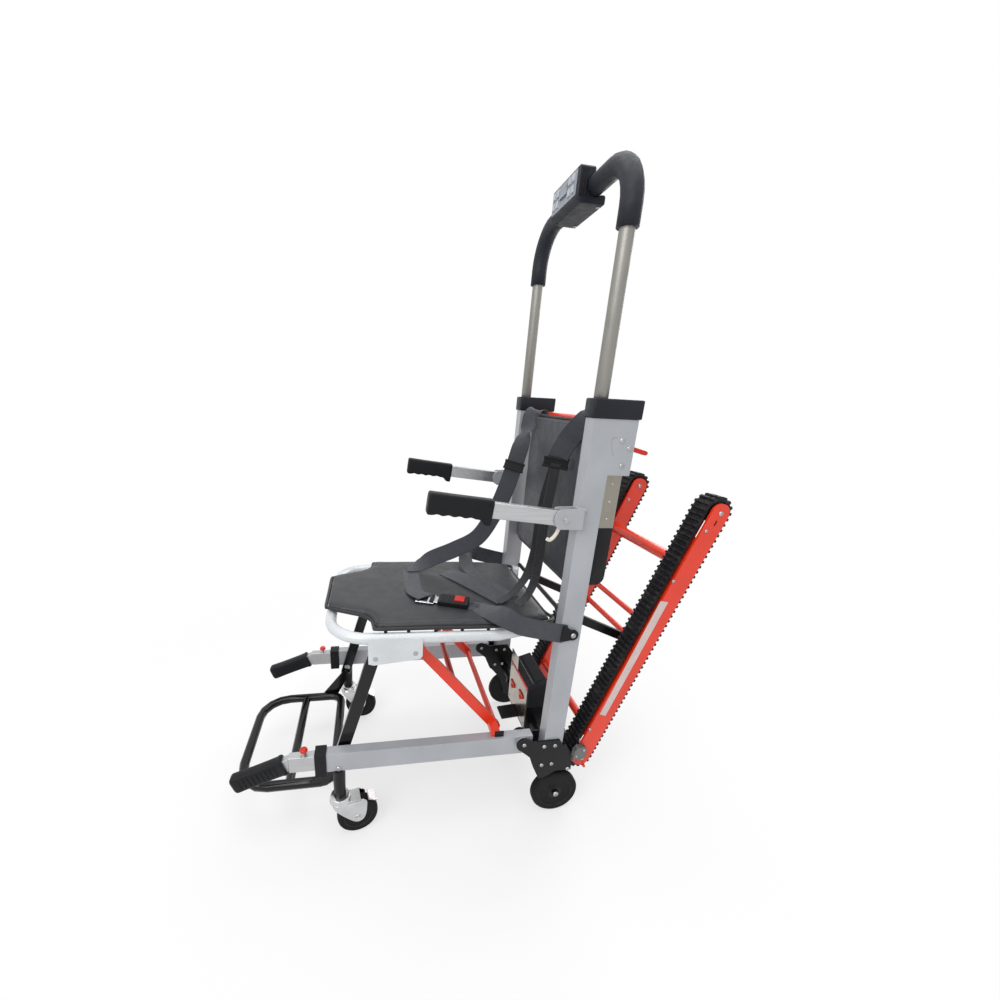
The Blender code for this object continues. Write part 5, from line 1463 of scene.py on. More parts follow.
@dataclass
class Harness:
    """Lap and shoulder belts with their buckle, tongue, adjusters and anchors."""

    flat: float = 0.0299
    beside: float = 0.2283
    buckle_spot: Pair = (0.100, -0.251)
    buckle_turn: float = -18.0
    buckle_low: float = 0.0276

    def build(self) -> None:
        """Makes every belt and its fittings."""
        dress(BLACK_PLASTIC, "belt_buckle", edge=0.0006)
        dress(RED_PLASTIC, "buckle_button", edge=0.0008)
        self.lap_belts()
        self.right_shoulder()
        self.left_shoulder()
        self.tongue()
        self.anchors()

    @staticmethod
    def declare(piece: bpy.types.Object, width: float, stations: Stations, rests: str) -> None:
        """Measures the length of a belt's middle line, which nothing uses.

        Args:
            piece: The piece to work on; not used.
            width: Width in metres; not used.
            stations: Points and the directions of the strap's width there.
            rests: Piece that the belt lies on; not used.
        """
        length = distances(spline([point for point, _ in stations], BELT_STEP))[-1]

    @staticmethod
    def plan(*rows: tuple[Triple, Triple]) -> Stations:
        """Stations given in the side drawing."""
        return [(PLAN.at(*spot), Vector(across)) for spot, across in rows]

    def buckle(self) -> Matrix:
        """The buckle's frame on the seat: its length runs along Y."""
        spot = Matrix.Translation((*self.buckle_spot, 0))
        return SEAT.matrix() @ spot @ Matrix.Rotation(math.radians(self.buckle_turn), 4, "Z")

    def lap_belts(self) -> None:
        """Both lap belts: the left one ends in the buckle, the right one lies across the seat."""
        flat, beside = self.flat, self.beside
        left = (
            (beside, 0.021, 0.0160, (0, 0, 1)), (beside, 0.060, 0.0240, (0, 0, 1)),
            (beside, 0.117, 0.0370, (0, -0.24, 1)), (0.2250, 0.135, 0.0430, (-0.1, 0, 1)),
            (0.2125, 0.150, 0.0470, (-0.45, -0.15, 0.85)), (0.190, 0.166, 0.0470, (-0.6, -0.45, 0.6)),
            (0.160, 0.181, 0.0400, (-0.7, -0.65, 0.3)), (0.136, 0.190, flat + 0.005, (-0.8, -0.6, 0.08)),
            (0.1195, 0.1985, flat + 0.002, (-0.93, -0.36, 0)),
            (0.1140, 0.2085, flat + 0.001, (-0.95, -0.31, 0)),
            (0.1108, 0.2190, flat + 0.001, (-0.95, -0.31, 0)),
        )
        right = (
            (beside, 0.021, 0.0165, (0, 0, 1)), (beside, 0.060, 0.0250, (0, 0, 1)),
            (beside, 0.108, 0.0370, (0, -0.26, 1)), (0.2240, 0.126, 0.0450, (0.1, 0, 1)),
            (0.208, 0.144, 0.0540, (0.3, 0.2, 0.9)), (0.180, 0.160, 0.0530, (0.4, 0.6, 0.7)),
            (0.146, 0.170, 0.0420, (0.35, 0.9, 0.3)), (0.105, 0.168, flat + 0.006, (0.0, 1, 0.08)),
            (0.050, 0.150, flat + 0.0015, (-0.36, 0.93, 0)), (-0.010, 0.125, flat + 0.001, (-0.36, 0.93, 0)),
            (-0.075, 0.098, flat + 0.001, (-0.36, 0.93, 0)),
        )
        doubled = (
            (0.092, 0.242, flat + 0.0030, (-0.52, 0.85, -0.08)),
            (0.062, 0.224, flat + 0.0080, (-0.52, 0.85, -0.24)),
            (0.020, 0.199, flat + 0.0105, (-0.52, 0.85, -0.30)),
            (-0.040, 0.163, flat + 0.0095, (-0.52, 0.85, -0.22)),
            (-0.100, 0.127, flat + 0.0055, (-0.52, 0.85, -0.08)),
        )
        runs = (
            (1, "lap_webbing_left", left, ["lap_belt_left"]),
            (-1, "lap_webbing_right", right, ["lap_belt_right"]),
            (-1, "lap_webbing_doubled", doubled, []),
        )
        for side, name, run, nodes in runs:
            stations = [
                (SEAT.at(side * x, -reach, level), SEAT.way(side * ax, -ay, az))
                for x, reach, level, (ax, ay, az) in run
            ]
            belt = Shape().strap(stations, BELT_WIDE).build(name, "seat", WIDE_WEB, stands_for=nodes)
            self.declare(belt, BELT_WIDE, stations, "seat_cushion")
        self.stitch_box()

    def stitch_box(self) -> None:
        """The crossed stitching that closes the left belt round the buckle's bar."""
        box = Shape()
        for path in (
            ((0.104, 0.2120), (0.124, 0.2055), (0.136, 0.1830), (0.118, 0.1900), (0.104, 0.2120)),
            ((0.104, 0.2120), (0.136, 0.1830)), ((0.124, 0.2055), (0.118, 0.1900)),
        ):
            line = spline([SEAT.at(x, -reach, self.flat + 0.0040) for x, reach in path], SEAM_STEP)
            row = stitches(line, SEAT.way(0, 0, 1))
            base = len(box.points)
            box.points.extend(row.points)
            box.spots.extend(row.spots)
            for face in row.faces:
                box.face(*(base + corner for corner in face))
        box.build("belt_stitching", "seat", THREAD)

    def hang(self, name: str, stations: Stations, width: float, finish: Finish, node: str = "") -> None:
        """A belt that bends between the back and the seat.

        Args:
            name: Name of the piece.
            stations: Points and the directions of the strap's width there.
            width: Width in metres.
            finish: Finish of the webbing.
            node: Node that the belt stands for, if any.
        """
        belt = Shape().strap(stations, width).place(name, finish)
        if node:
            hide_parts(node)
        tuple(PLAN.at(0, 0.56, 0.80))
        tuple(PLAN.at(0, 0.46, 0.60))
        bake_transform(belt)
        self.declare(belt, width, stations, "seat_cushion")
        LOG.info("%s hangs from the back to the seat", name)

    def adjuster(self, name: str, spot: Triple, across: Triple, along: Triple) -> None:
        """A three-bar slide on a belt.

        Args:
            name: Name of the piece.
            spot: Where it sits.
            across: Direction of the width.
            along: Direction of the length.
        """
        middle, wide, run = PLAN.at(*spot), Vector(across), Vector(along)
        clip = Shape().slab(middle, wide, run, (0.054, 0.020, 0.0085))
        for offset, size in ((0.010, (0.056, 0.0055, 0.0120)), (-0.010, (0.056, 0.0050, 0.0110))):
            clip.slab(middle + run.normalized() * offset, wide, run, size)
        clip.build(name, "chair", BLACK_PLASTIC, edge=0.0012)

    def right_shoulder(self) -> None:
        """The far shoulder belt: twisted over the back's corner, then swept to the tongue's belt."""
        stations = self.plan(
            ((-0.140, 0.634, 0.982), (1, 0.1, 0)), ((-0.140, 0.631, 1.000), (1, 0.2, 0)),
            ((-0.140, 0.620, 1.010), (0.85, 0.5, 0)), ((-0.139, 0.606, 1.009), (0.5, 0.85, 0)),
            ((-0.137, 0.595, 0.996), (0.4, 0.9, 0)), ((-0.130, 0.585, 0.970), (0.7, 0.7, 0)),
            ((-0.126, 0.577, 0.952), (1, 0.15, 0)),
            ((-0.122, 0.570, 0.934), (0.75, 0.65, 0)), ((-0.116, 0.560, 0.905), (0.35, 0.93, 0)),
            ((-0.110, 0.547, 0.862), (0.3, 0.95, 0)), ((-0.103, 0.525, 0.797), (0.3, 0.95, -0.1)),
            ((-0.100, 0.500, 0.737), (0.3, 0.85, -0.3)), ((-0.101, 0.455, 0.662), (0.35, 0.6, -0.6)),
            ((-0.105, 0.390, 0.624), (0.39, 0.38, -0.82)), ((-0.110, 0.330, 0.598), (0.5, 0.3, -0.75)),
            ((-0.113, 0.295, 0.577), (0.8, 0.2, -0.4)), ((-0.115, 0.272, 0.5665), (1, 0.05, -0.05)),
            ((-0.116, 0.256, 0.5650), (1, 0, 0)),
        )
        self.hang("shoulder_webbing_right", stations, BELT_WIDE, WIDE_WEB, "shoulder_belt_right")
        self.adjuster("belt_adjuster_right", (-0.110, 0.5465, 0.862), (0.3, 0.95, 0), (0.10, -0.28, -0.95))
        level = 0.0297
        folded = [
            (SEAT.at(x, -reach, level + rise), SEAT.way(ax, ay, 0)) for x, reach, rise, (ax, ay) in (
                (-0.139, 0.336, 0.0002, (0, 1)), (-0.110, 0.337, 0.0002, (0, 1)),
                (-0.050, 0.342, 0.0006, (0, 1)), (0.010, 0.343, 0.0016, (0, 1)),
                (0.046, 0.338, 0.0050, (-0.2, 1)), (0.068, 0.326, 0.0085, (-0.5, 0.8)),
                (0.077, 0.320, 0.0088, (-0.6, 0.75)),
            )
        ]
        belt = Shape().strap(folded, BELT_WIDE).build("tongue_webbing", "seat", WIDE_WEB)
        self.declare(belt, BELT_WIDE, folded, "seat_cushion")

    def left_shoulder(self) -> None:
        """The near shoulder belt: a wide strap to its slide and two narrow tails to the seat."""
        wide = self.plan(
            ((0.172, 0.634, 0.985), (1, 0.1, 0)), ((0.172, 0.630, 1.002), (1, 0.2, 0)),
            ((0.171, 0.618, 1.010), (0.85, 0.5, 0)), ((0.168, 0.604, 1.006), (0.6, 0.8, 0.1)),
            ((0.160, 0.592, 0.990), (0.55, 0.7, 0.4)), ((0.145, 0.581, 0.968), (0.6, 0.65, 0.45)),
            ((0.128, 0.575, 0.943), (0.75, 0.6, 0.25)), ((0.115, 0.571, 0.922), (0.7, 0.7, 0.05)),
            ((0.109, 0.5695, 0.906), (0.5, 0.85, 0)), ((0.106, 0.5690, 0.893), (0.45, 0.9, 0)),
        )
        top = Shape().strap(wide, BELT_WIDE).build("shoulder_webbing_left", "chair", WIDE_WEB)
        self.declare(top, BELT_WIDE, wide, "back_cushion")
        self.adjuster("belt_adjuster_left", (0.1085, 0.5690, 0.905), (0.5, 0.85, 0), (-0.2, -0.02, -1))
        first = self.plan(
            ((0.102, 0.571, 0.903), (0.5, 0.85, 0)), ((0.082, 0.571, 0.865), (0.5, 0.85, 0)),
            ((0.056, 0.571, 0.800), (0.5, 0.85, 0)), ((0.044, 0.571, 0.735), (0.5, 0.85, 0)),
            ((0.044, 0.567, 0.665), (0.5, 0.85, 0)), ((0.057, 0.547, 0.608), (0.7, 0.7, 0)),
            ((0.080, 0.510, 0.576), (0.85, 0.5, 0)), ((0.097, 0.477, 0.5630), (0.9, 0.45, 0)),
            ((0.104, 0.462, 0.5605), (0.9, 0.42, 0)),
        )
        self.hang("shoulder_tail_front", first, BELT_TAIL, TAIL_WEB, "shoulder_belt_left")
        second = self.plan(
            ((0.112, 0.568, 0.903), (0.5, 0.85, 0)), ((0.100, 0.568, 0.845), (0.5, 0.85, 0)),
            ((0.088, 0.568, 0.785), (0.5, 0.85, 0)), ((0.080, 0.568, 0.735), (0.5, 0.85, 0)),
            ((0.080, 0.566, 0.665), (0.5, 0.85, 0)), ((0.089, 0.557, 0.610), (0.7, 0.7, 0)),
            ((0.103, 0.537, 0.576), (0.85, 0.5, 0)), ((0.114, 0.517, 0.5615), (0.9, 0.45, 0)),
            ((0.119, 0.506, 0.5590), (0.9, 0.42, 0)),
        )
        self.hang("shoulder_tail_rear", second, BELT_TAIL, TAIL_WEB)

    def tongue(self) -> None:
        """The slotted steel tongue in the buckle, and the buckle's mouth and belt bar."""
        place = self.buckle()
        low, high = self.buckle_low + 0.0062, self.buckle_low + 0.0086

        def bar(shape: Shape, x: Pair, y: Pair, z: Pair) -> None:
            """A block in the buckle's frame.

            Args:
                shape: Shape that takes the block.
                x: Range across.
                y: Range along.
                z: Range of height.
            """
            shape.loft([
                [place @ Vector((a, b, c))
                 for a, b in ((x[0], y[0]), (x[1], y[0]), (x[1], y[1]), (x[0], y[1]))]
                for c in z])

        steel = Shape()
        for x, y in (
            ((-0.0240, 0.0240), (-0.0930, -0.0850)), ((-0.0240, -0.0175), (-0.0852, -0.0650)),
            ((0.0175, 0.0240), (-0.0852, -0.0650)), ((-0.0240, 0.0240), (-0.0652, -0.0480)),
            ((-0.0160, 0.0160), (-0.0482, -0.0345)),
        ):
            bar(steel, x, y, (low, high))
        steel.build("buckle_tongue", "seat", CHROME, edge=0.0007)
        cover = Shape()
        bar(cover, (-0.0190, 0.0190), (-0.0600, -0.0500), (high - 0.0004, high + 0.0030))
        cover.build("tongue_cover", "seat", BLACK_PLASTIC, edge=0.0012)
        trim = Shape()
        top = self.buckle_low + 0.0160
        for z in ((self.buckle_low + 0.001, low - 0.0003), (high + 0.0003, top - 0.002)):
            bar(trim, (-0.0215, 0.0215), (-0.0395, -0.0345), z)
        for y in ((-0.0300, -0.0275), (-0.0235, -0.0210), (-0.0170, -0.0145)):
            bar(trim, (-0.0190, 0.0190), y, (top - 0.0004, top + 0.0012))
        trim.build("buckle_trim", "seat", LID_PLASTIC, edge=0.0006)

    def anchors(self) -> None:
        """The bolted anchor tabs of the lap belts beside the seat pivots."""
        for side, tag in SIDES:
            tab = Shape()
            centre = (0.600, 0.536)
            outline = [
                (centre[0] + 0.0130 * math.cos(a), centre[1] + 0.0130 * math.sin(a))
                for a in [math.radians(k) for k in range(-110, 111, 20)]
            ]
            outline += [(0.5800, 0.5600), (0.5750, 0.5600), (0.5720, 0.5225), (0.5770, 0.5210)]
            low, high = sorted((side * 0.2303, side * 0.2338))
            tab.plate(outline, low, high)
            tab.tag = 1
            tab.bolt(PLAN.at(side * 0.2336, *centre), Vector((side, 0, 0)), 0.0062, 0.0040)
            tab.build(f"belt_anchor_{tag}", "seat", BLACK_PLASTIC, BOLT_STEEL, edge=0.0006)


# ---------------------------------------------------------------- base rails and carrying handles


@dataclass
class BaseSide:
    """One side of the base: rail, collar, pull-out carrying handle and its lock knob."""

    side: int
    tag: str
    x: float = 0.2075
    rail_z: float = 0.2275
    bend_y: float = -0.038
    drop: float = 20.0
    knob_y: float = -0.004

    def build(self) -> None:
        """Dresses the side and makes its grip, knob and screws."""
        tag = self.tag
        dress(SILVER, f"rail_{tag}", edge=0.0035)
        dress(BLACK_PLASTIC, f"collar_{tag}", edge=0.0012)
        dress(BAR_METAL, f"carry_tube_{tag}", edge=0.0016)
        self.grip()
        self.knob()
        self.screws()

    def grip(self) -> None:
        """The soft grip on the bent end of the carrying handle."""
        place = Place(self.bend_y, self.rail_z, -self.drop, self.side * self.x)
        stations = [(0.0102, 0.86), (0.0104, 1.02), (0.0130, 1.06), (0.0170, 1.06), (0.0190, 1.0)]
        stations += [(0.019 + 0.107 * k / 24, 1.0 - 0.04 * math.sin(math.pi * k / 24)) for k in range(1, 25)]
        for angle in (25, 48, 68, 85):
            turn = math.radians(angle)
            stations.append((0.126 + 0.008 * math.sin(turn), 0.62 + 0.38 * math.cos(turn)))
        rings = []
        for along, size in stations:
            section = rounded(0.0134 * size, 0.0212 * size, 0.0212 * size, 5.0)
            rings.append([place.at(x, -along, z) for x, z in section])
        grip = Shape().loft(rings)
        for k in range(9):
            along = 0.030 + 0.0105 * k
            for way in (1, -1):
                rib = [place.at(way * 0.0131, -along, z) for z in (-0.0125, 0.0, 0.0125)]
                grip.tube(rib, 0.0009, 6)
        grip.build(
            f"soft_grip_{self.tag}", f"carry_{self.tag}", GRIP_RUBBER,
            stands_for=[f"carry_grip_{self.tag}"], smooth=50.0)

    def knob(self) -> None:
        """The red lock knob on its bright stem."""
        foot = PLAN.at(self.side * self.x, self.knob_y, self.rail_z + 0.0203)
        up = Vector((0, 0, 1))
        knob = Shape().lathe(foot, up, (
            (0.0052, 0.0), (0.0052, 0.0016), (0.0036, 0.0022), (0.0036, 0.0065)), 24)
        knob.tag = 1
        ball = [
            (0.0036, 0.0060), (0.0060, 0.0066), (0.0082, 0.0088), (0.0090, 0.0112), (0.0087, 0.0135),
            (0.0074, 0.0156), (0.0052, 0.0168), (0.0048, 0.0162), (0.0026, 0.0160),
        ]
        knob.lathe(foot, up, ball, 32)
        knob.build(
            f"pull_knob_{self.tag}", f"carry_lock_{self.tag}", CHROME, RED_PLASTIC,
            stands_for=[f"lock_knob_{self.tag}"], smooth=50.0)

    def screws(self) -> None:
        """The castor's fixing screw at the rail's lower edge."""
        way = Vector((self.side, 0, 0))
        row = Shape()
        row.bolt(PLAN.at(self.side * 0.2198, 0.073, 0.2090), way, 0.0068, 0.0036)
        row.build(f"rail_screws_{self.tag}", "base_rails", BOLT_STEEL)


# ---------------------------------------------------------------- wheels


@dataclass
class Castor:
    """One swivelling castor: stem, crown, fork, wheel and brake tab."""

    side: int
    tag: str
    x: float = 0.2075
    y: float = 0.072
    turn: float = 10.0
    trail: float = 0.040
    radius: float = 0.050
    half_width: float = 0.013

    def matrix(self) -> Matrix:
        """The swivel's frame: its axis is Z and the wheel trails along Y."""
        spot = PLAN.at(self.side * self.x, self.y, 0)
        return Matrix.Translation(spot) @ Matrix.Rotation(math.radians(self.side * self.turn), 4, "Z")

    def build(self) -> None:
        """Dresses the brake, then makes the stem, the wheel and the fork."""
        dress(CHROME, f"castor_brake_{self.tag}", edge=0.0006)
        self.stem()
        self.wheel()
        self.fork()

    def stem(self) -> None:
        """The black stem tube over the swivel pin."""
        foot = self.matrix() @ Vector((0, 0, 0.1198))
        profile = (
            (0.0120, 0.0), (0.0150, 0.0), (0.0150, 0.004), (0.0134, 0.0055), (0.0152, 0.0795),
            (0.0175, 0.0800), (0.0175, 0.0826), (0.0120, 0.0826),
        )
        Shape().lathe(foot, Vector((0, 0, 1)), profile, 32).build(
            f"castor_stem_{self.tag}", "base_rails", SATIN_BLACK)

    def wheel(self) -> None:
        """The wheel: tread, moulded rim, hub and bearing."""
        turned = self.matrix()
        centre = turned @ Vector((0, self.trail, self.radius))
        axis = (turned.to_3x3() @ Vector((1, 0, 0))).normalized()
        w, r = self.half_width, self.radius
        tyre = Shape()
        profile = [(0.034, -w + 0.0015)]
        for angle in range(-75, 76, 15):
            a = math.radians(angle)
            profile.append((r - 0.0085 + 0.0085 * math.cos(a) ** 0.6, (w - 0.0004) * math.sin(a) / math.sin(
                math.radians(75))))
        profile.append((0.034, w - 0.0015))
        tyre.lathe(centre, axis, profile, 56)
        tyre.tag = 1
        for way in (1, -1):
            rim = (
                (0.0350, w - 0.003), (0.0350, w - 0.0012), (0.0325, w - 0.0008), (0.0305, w - 0.0030),
                (0.0165, w - 0.0045), (0.0145, w - 0.0012), (0.0060, w - 0.0008), (0.0045, w - 0.004),
            )
            tyre.lathe(centre, axis * way, rim, 40)
        tyre.build(
            f"castor_tyre_{self.tag}", f"castor_roll_{self.tag}", TYRE, BLACK_PLASTIC,
            stands_for=[f"castor_wheel_{self.tag}"])

    def fork(self) -> None:
        """The pressed fork: ball-race crown, bridge, two curved cheeks and the axle's nuts."""
        turned = self.matrix()
        fork = Shape()
        crown = turned @ Vector((0, 0, 0.1033))
        fork.lathe(crown, Vector((0, 0, 1)), (
            (0.0100, -0.0006), (0.0228, -0.0006), (0.0250, 0.0004), (0.0254, 0.0030), (0.0238, 0.0050),
            (0.0246, 0.0066), (0.0240, 0.0110), (0.0215, 0.0158), (0.0160, 0.0166), (0.0125, 0.0166)), 40)
        outline = spline([Vector((0, y, z)) for y, z in (
            (-0.0185, 0.1085), (-0.0190, 0.1030), (-0.0140, 0.0900), (0.0010, 0.0700), (0.0180, 0.0520),
            (0.0300, 0.0415), (0.0400, 0.0380), (0.0490, 0.0405), (0.0560, 0.0490), (0.0600, 0.0640),
            (0.0615, 0.0800), (0.0620, 0.0920), (0.0595, 0.0985), (0.0480, 0.1046), (0.0280, 0.1048),
            (0.0190, 0.1085),
        )], 0.004)
        for way in (1, -1):
            fork.loft([[turned @ Vector((way * x, p.y, p.z)) for p in outline] for x in (0.0150, 0.0178)])
        bridge = ((-0.0178, -0.0185), (0.0178, -0.0185), (0.0178, 0.0470), (-0.0178, 0.0470))
        fork.loft([[turned @ Vector((x, y, z)) for x, y in bridge] for z in (0.1016, 0.1048)])
        axis = (turned.to_3x3() @ Vector((1, 0, 0))).normalized()
        for way in (1, -1):
            nut = turned @ Vector((way * 0.0177, self.trail, self.radius))
            fork.bolt(nut, axis * way, 0.0066, 0.0042, Head.HEX)
        fork.build(
            f"pressed_fork_{self.tag}", f"castor_{self.tag}", CHROME, edge=0.0006,
            stands_for=[f"castor_fork_{self.tag}"])


@dataclass
class RearWheel:
    """One fixed rear wheel with a grooved tread and a dished hub."""

    side: int
    tag: str
    centre: Pair = (0.619, 0.0615)
    middle_x: float = 0.2085
    half_width: float = 0.011
    radius: float = 0.0615

    def build(self) -> None:
        """Turns the tyre, its tread grooves, the dish and the axle bolt."""
        w, r = self.half_width, self.radius
        spot = PLAN.at(self.side * self.middle_x, *self.centre)
        axis = Vector((1, 0, 0))
        wheel = Shape()
        profile = [(0.044, -w + 0.0010), (0.0485, -w), (0.0575, -w + 0.0004), (r - 0.0010, -w + 0.0032)]
        for along in (-0.0045, 0.0, 0.0045):
            profile += [
                (r, along - 0.0016), (r, along - 0.0007), (r - 0.0014, along - 0.0004),
                (r - 0.0014, along + 0.0004), (r, along + 0.0007), (r, along + 0.0016),
            ]
        profile += [(r - 0.0010, w - 0.0032), (0.0575, w - 0.0004), (0.0485, w), (0.044, w - 0.0010)]
        wheel.lathe(spot, axis, profile, 64)
        wheel.tag = 1
        for way in (1, -1):
            dish = (
                (0.0452, w - 0.0030), (0.0452, w - 0.0006), (0.0430, w - 0.0002), (0.0405, w - 0.0045),
                (0.0225, w - 0.0062), (0.0200, w - 0.0020), (0.0165, w - 0.0004), (0.0070, w - 0.0004),
                (0.0064, w - 0.004),
            )
            wheel.lathe(spot, axis * way, dish, 48)
            for k in range(6):
                angle = math.radians(60 * k)
                ray = Vector((0, math.cos(angle), math.sin(angle)))
                wheel.tube([
                    spot + axis * way * (w - 0.0048) + ray * 0.021,
                    spot + axis * way * (w - 0.0040) + ray * 0.041], 0.0016, 8)
        wheel.build(
            f"rear_tyre_{self.tag}", f"rear_roll_{self.tag}", TYRE, BLACK_PLASTIC,
            stands_for=[f"rear_wheel_{self.tag}"])
        bolt = Shape().bolt(
            PLAN.at(self.side * 0.2240, *self.centre), Vector((self.side, 0, 0)), 0.0072, 0.0046)
        bolt.build(f"rear_axle_bolt_{self.tag}", "chair", BOLT_STEEL)


# ---------------------------------------------------------------- brackets, legs, footrest and strut


@dataclass
class LowerFrame:
    """Rear brackets, front legs, footrest and folding strut, with their bolts."""

    bracket_x: float = 0.2313
    bracket_bolts: tuple[Pair, ...] = (
        (0.515, 0.237), (0.567, 0.227), (0.595, 0.227), (0.566, 0.170), (0.592, 0.171), (0.637, 0.150),
    )

    def build(self) -> None:
        """Dresses the parts and adds the bolts and caps."""
        dress(SATIN_BLACK, "bracket_left", "bracket_right", edge=0.0008)
        dress(GLOSS_BLACK, "front_leg_left", "front_leg_right", edge=0.0018)
        dress(GLOSS_BLACK, "footrest", edge=0.0006)
        dress(RED, "fold_strut", edge=0.0012)
        for side, tag in SIDES:
            row = Shape()
            for y, z in self.bracket_bolts:
                spot = PLAN.at(side * (self.bracket_x - 0.0002), y, z)
                row.bolt(spot, Vector((side, 0, 0)), 0.0052, 0.0032)
            for y, z in self.bracket_bolts[:5]:
                row.bolt(PLAN.at(side * 0.1909, y, z), Vector((-side, 0, 0)), 0.0052, 0.0030)
            row.build(f"bracket_bolts_{tag}", "chair", BOLT_STEEL)
            self.leg_bolts(side, tag)
            self.strut_foot(side, tag)

    @staticmethod
    def leg_bolts(side: int, tag: str) -> None:
        """Bolts on the inner face of a front leg.

        Args:
            side: One for left, minus one for right.
            tag: Left or right, for the name.
        """
        row = Shape()
        for y, z in ((0.161, 0.491), (0.073, 0.207)):
            row.bolt(PLAN.at(side * 0.1747, y, z), Vector((-side, 0, 0)), 0.0058, 0.0036, Head.HEX)
        row.build(f"leg_bolts_{tag}", "front_legs", BOLT_STEEL)

    @staticmethod
    def strut_foot(side: int, tag: str) -> None:
        """The black end plug of the strut's foot, beside the rail's inner face.

        Args:
            side: One for left, minus one for right.
            tag: Left or right, for the name.
        """
        plug = Shape()
        low, high = sorted((side * 0.2090, side * 0.2142))
        plug.block((low, 0.4445, 0.2526), (high, 0.4675, 0.2668))
        plug.build(f"strut_plug_{tag}", "strut", BLACK_PLASTIC, edge=0.0014)


# ---------------------------------------------------------------- the crawler track


@dataclass
class CrawlerTrack:
    """The track frame with its lugged belts, pulleys, screws and reflective strips."""

    outer_x: float = 0.1875
    inner_x: float = 0.1252
    belt_x: Pair = (0.1335, 0.1790)
    length: float = 0.715
    inner: float = 0.0268
    base: float = 0.0318
    tip: float = 0.0378
    lugs: int = 118

    def build(self) -> None:
        """Dresses the frame and makes the belts and fittings."""
        dress(RED, "track_frame", edge=0.0008)
        dress(SATIN_BLACK, "track_stay", edge=0.0012)
        dress(BOLT_STEEL, "drive_axle", edge=0.0006)
        dress(BLACK_PLASTIC, "idler_left", "idler_right", edge=0.0006)
        for side, tag in SIDES:
            self.belt(side, tag)
            self.fittings(side, tag)
            self.tape(side, tag)

    def belt_point(self, run: float, radius: float) -> Pair:
        """A point of the belt as (offset, rise), at a run along it from the foot of the rear side.

        Args:
            run: Distance along the belt.
            radius: Distance from the track's middle line.

        Returns:
            Offset from and rise along the track.
        """
        turn = math.pi * self.base
        run %= 2 * (self.length + turn)
        if run < self.length:
            return radius, run
        if run < self.length + turn:
            angle = (run - self.length) / self.base
            return radius * math.cos(angle), self.length + radius * math.sin(angle)
        if run < 2 * self.length + turn:
            return -radius, 2 * self.length + turn - run
        angle = math.pi + (run - 2 * self.length - turn) / self.base
        return radius * math.cos(angle), radius * math.sin(angle)

    def belt(self, side: int, tag: str) -> None:
        """One toothed belt: a band with a smooth guide edge and tapered lugs.

        Args:
            side: One for left, minus one for right.
            tag: Left or right, for the name.
        """
        low, high = self.belt_x
        whole = 2 * (self.length + math.pi * self.base)
        pitch = whole / self.lugs
        rings = []
        for lug in range(self.lugs):
            for share, height in ((0.0, 0.0), (0.12, 1.0), (0.46, 1.0), (0.58, 0.0), (0.80, 0.0)):
                run = (lug + share) * pitch
                outer = self.base + (self.tip - self.base) * height
                waist = self.base + (self.tip - self.base) * height * 0.45
                section = (
                    (low, self.inner), (high, self.inner), (high, outer - 0.0012 * height),
                    (high - 0.0012, outer), (high - 0.0110, outer), (high - 0.0125, waist),
                    (high - 0.0150, waist), (high - 0.0165, outer), (low + 0.0015, outer),
                    (low, outer - 0.0012 * height),
                )
                rings.append([
                    TRACK.at(side * x, *self.belt_point(run, radius)) for x, radius in section
                ])
        Shape().loft(rings, wrap=True).build(
            f"lugged_belt_{tag}", "track", BELT_RUBBER, stands_for=[f"track_belt_{tag}"], smooth=30.0)

    def fittings(self, side: int, tag: str) -> None:
        """Axle bolts and plate screws on the outer plate, and a black rod painted on the plate as the shade
        inside its slot.

        Args:
            side: One for left, minus one for right.
            tag: Left or right, for the name.
        """
        way = Vector((side, 0, 0))
        row = Shape()
        row.bolt(TRACK.at(side * (self.outer_x - 0.0002), 0, self.length), way, 0.0058, 0.0034)
        for y, z in ((0.861, 0.638), (0.710, 0.224), (0.917, 0.762)):
            row.bolt(PLAN.at(side * (self.outer_x - 0.0002), y, z), way, 0.0042, 0.0026)
        row.bolt(PLAN.at(side * self.inner_x, 0.917, 0.762), -way, 0.0042, 0.0026)
        row.bolt(TRACK.at(side * self.inner_x, 0, self.length), -way, 0.0058, 0.0034)
        row.build(f"track_screws_{tag}", "track", BOLT_STEEL)
        # Painted shade: a satin black rod laid on the outer plate where its slot is, standing for the slot's
        # shadowed inside.
        ends = [TRACK.at(side * self.outer_x, 0, self.length - rise) for rise in (0.018, 0.030)]
        Shape().tube(ends, 0.0016, 10).build(f"slot_painted_shade_{tag}", "track", SATIN_BLACK)
        self.foot(side, tag)

    @staticmethod
    def foot(side: int, tag: str) -> None:
        """The grey bearing block at the track's foot and its red latch.

        Args:
            side: One for left, minus one for right.
            tag: Left or right, for the name.
        """
        block = Shape()
        low, high = sorted((side * 0.1878, side * 0.2005))
        block.plate((
            (0.668, 0.146), (0.670, 0.170), (0.676, 0.178), (0.694, 0.181), (0.701, 0.176), (0.703, 0.152),
            (0.697, 0.143), (0.674, 0.140),
        ), low, high)
        block.tag = 1
        for y, z in ((0.676, 0.152), (0.695, 0.170)):
            block.bolt(PLAN.at(side * 0.2003, y, z), Vector((side, 0, 0)), 0.0034, 0.0020)
        block.build(f"bearing_block_{tag}", "track", BLOCK_METAL, BOLT_STEEL, edge=0.0014)
        latch = Shape()
        low, high = sorted((side * 0.1885, side * 0.1935))
        latch.plate((
            (0.679, 0.143), (0.690, 0.143), (0.699, 0.124), (0.708, 0.116), (0.704, 0.110), (0.692, 0.117),
        ), low, high)
        latch.tube([PLAN.at(side * x, 0.704, 0.114) for x in (0.183, 0.199)], 0.0036, 12)
        latch.build(f"track_latch_{tag}", "track", RED, edge=0.0010)

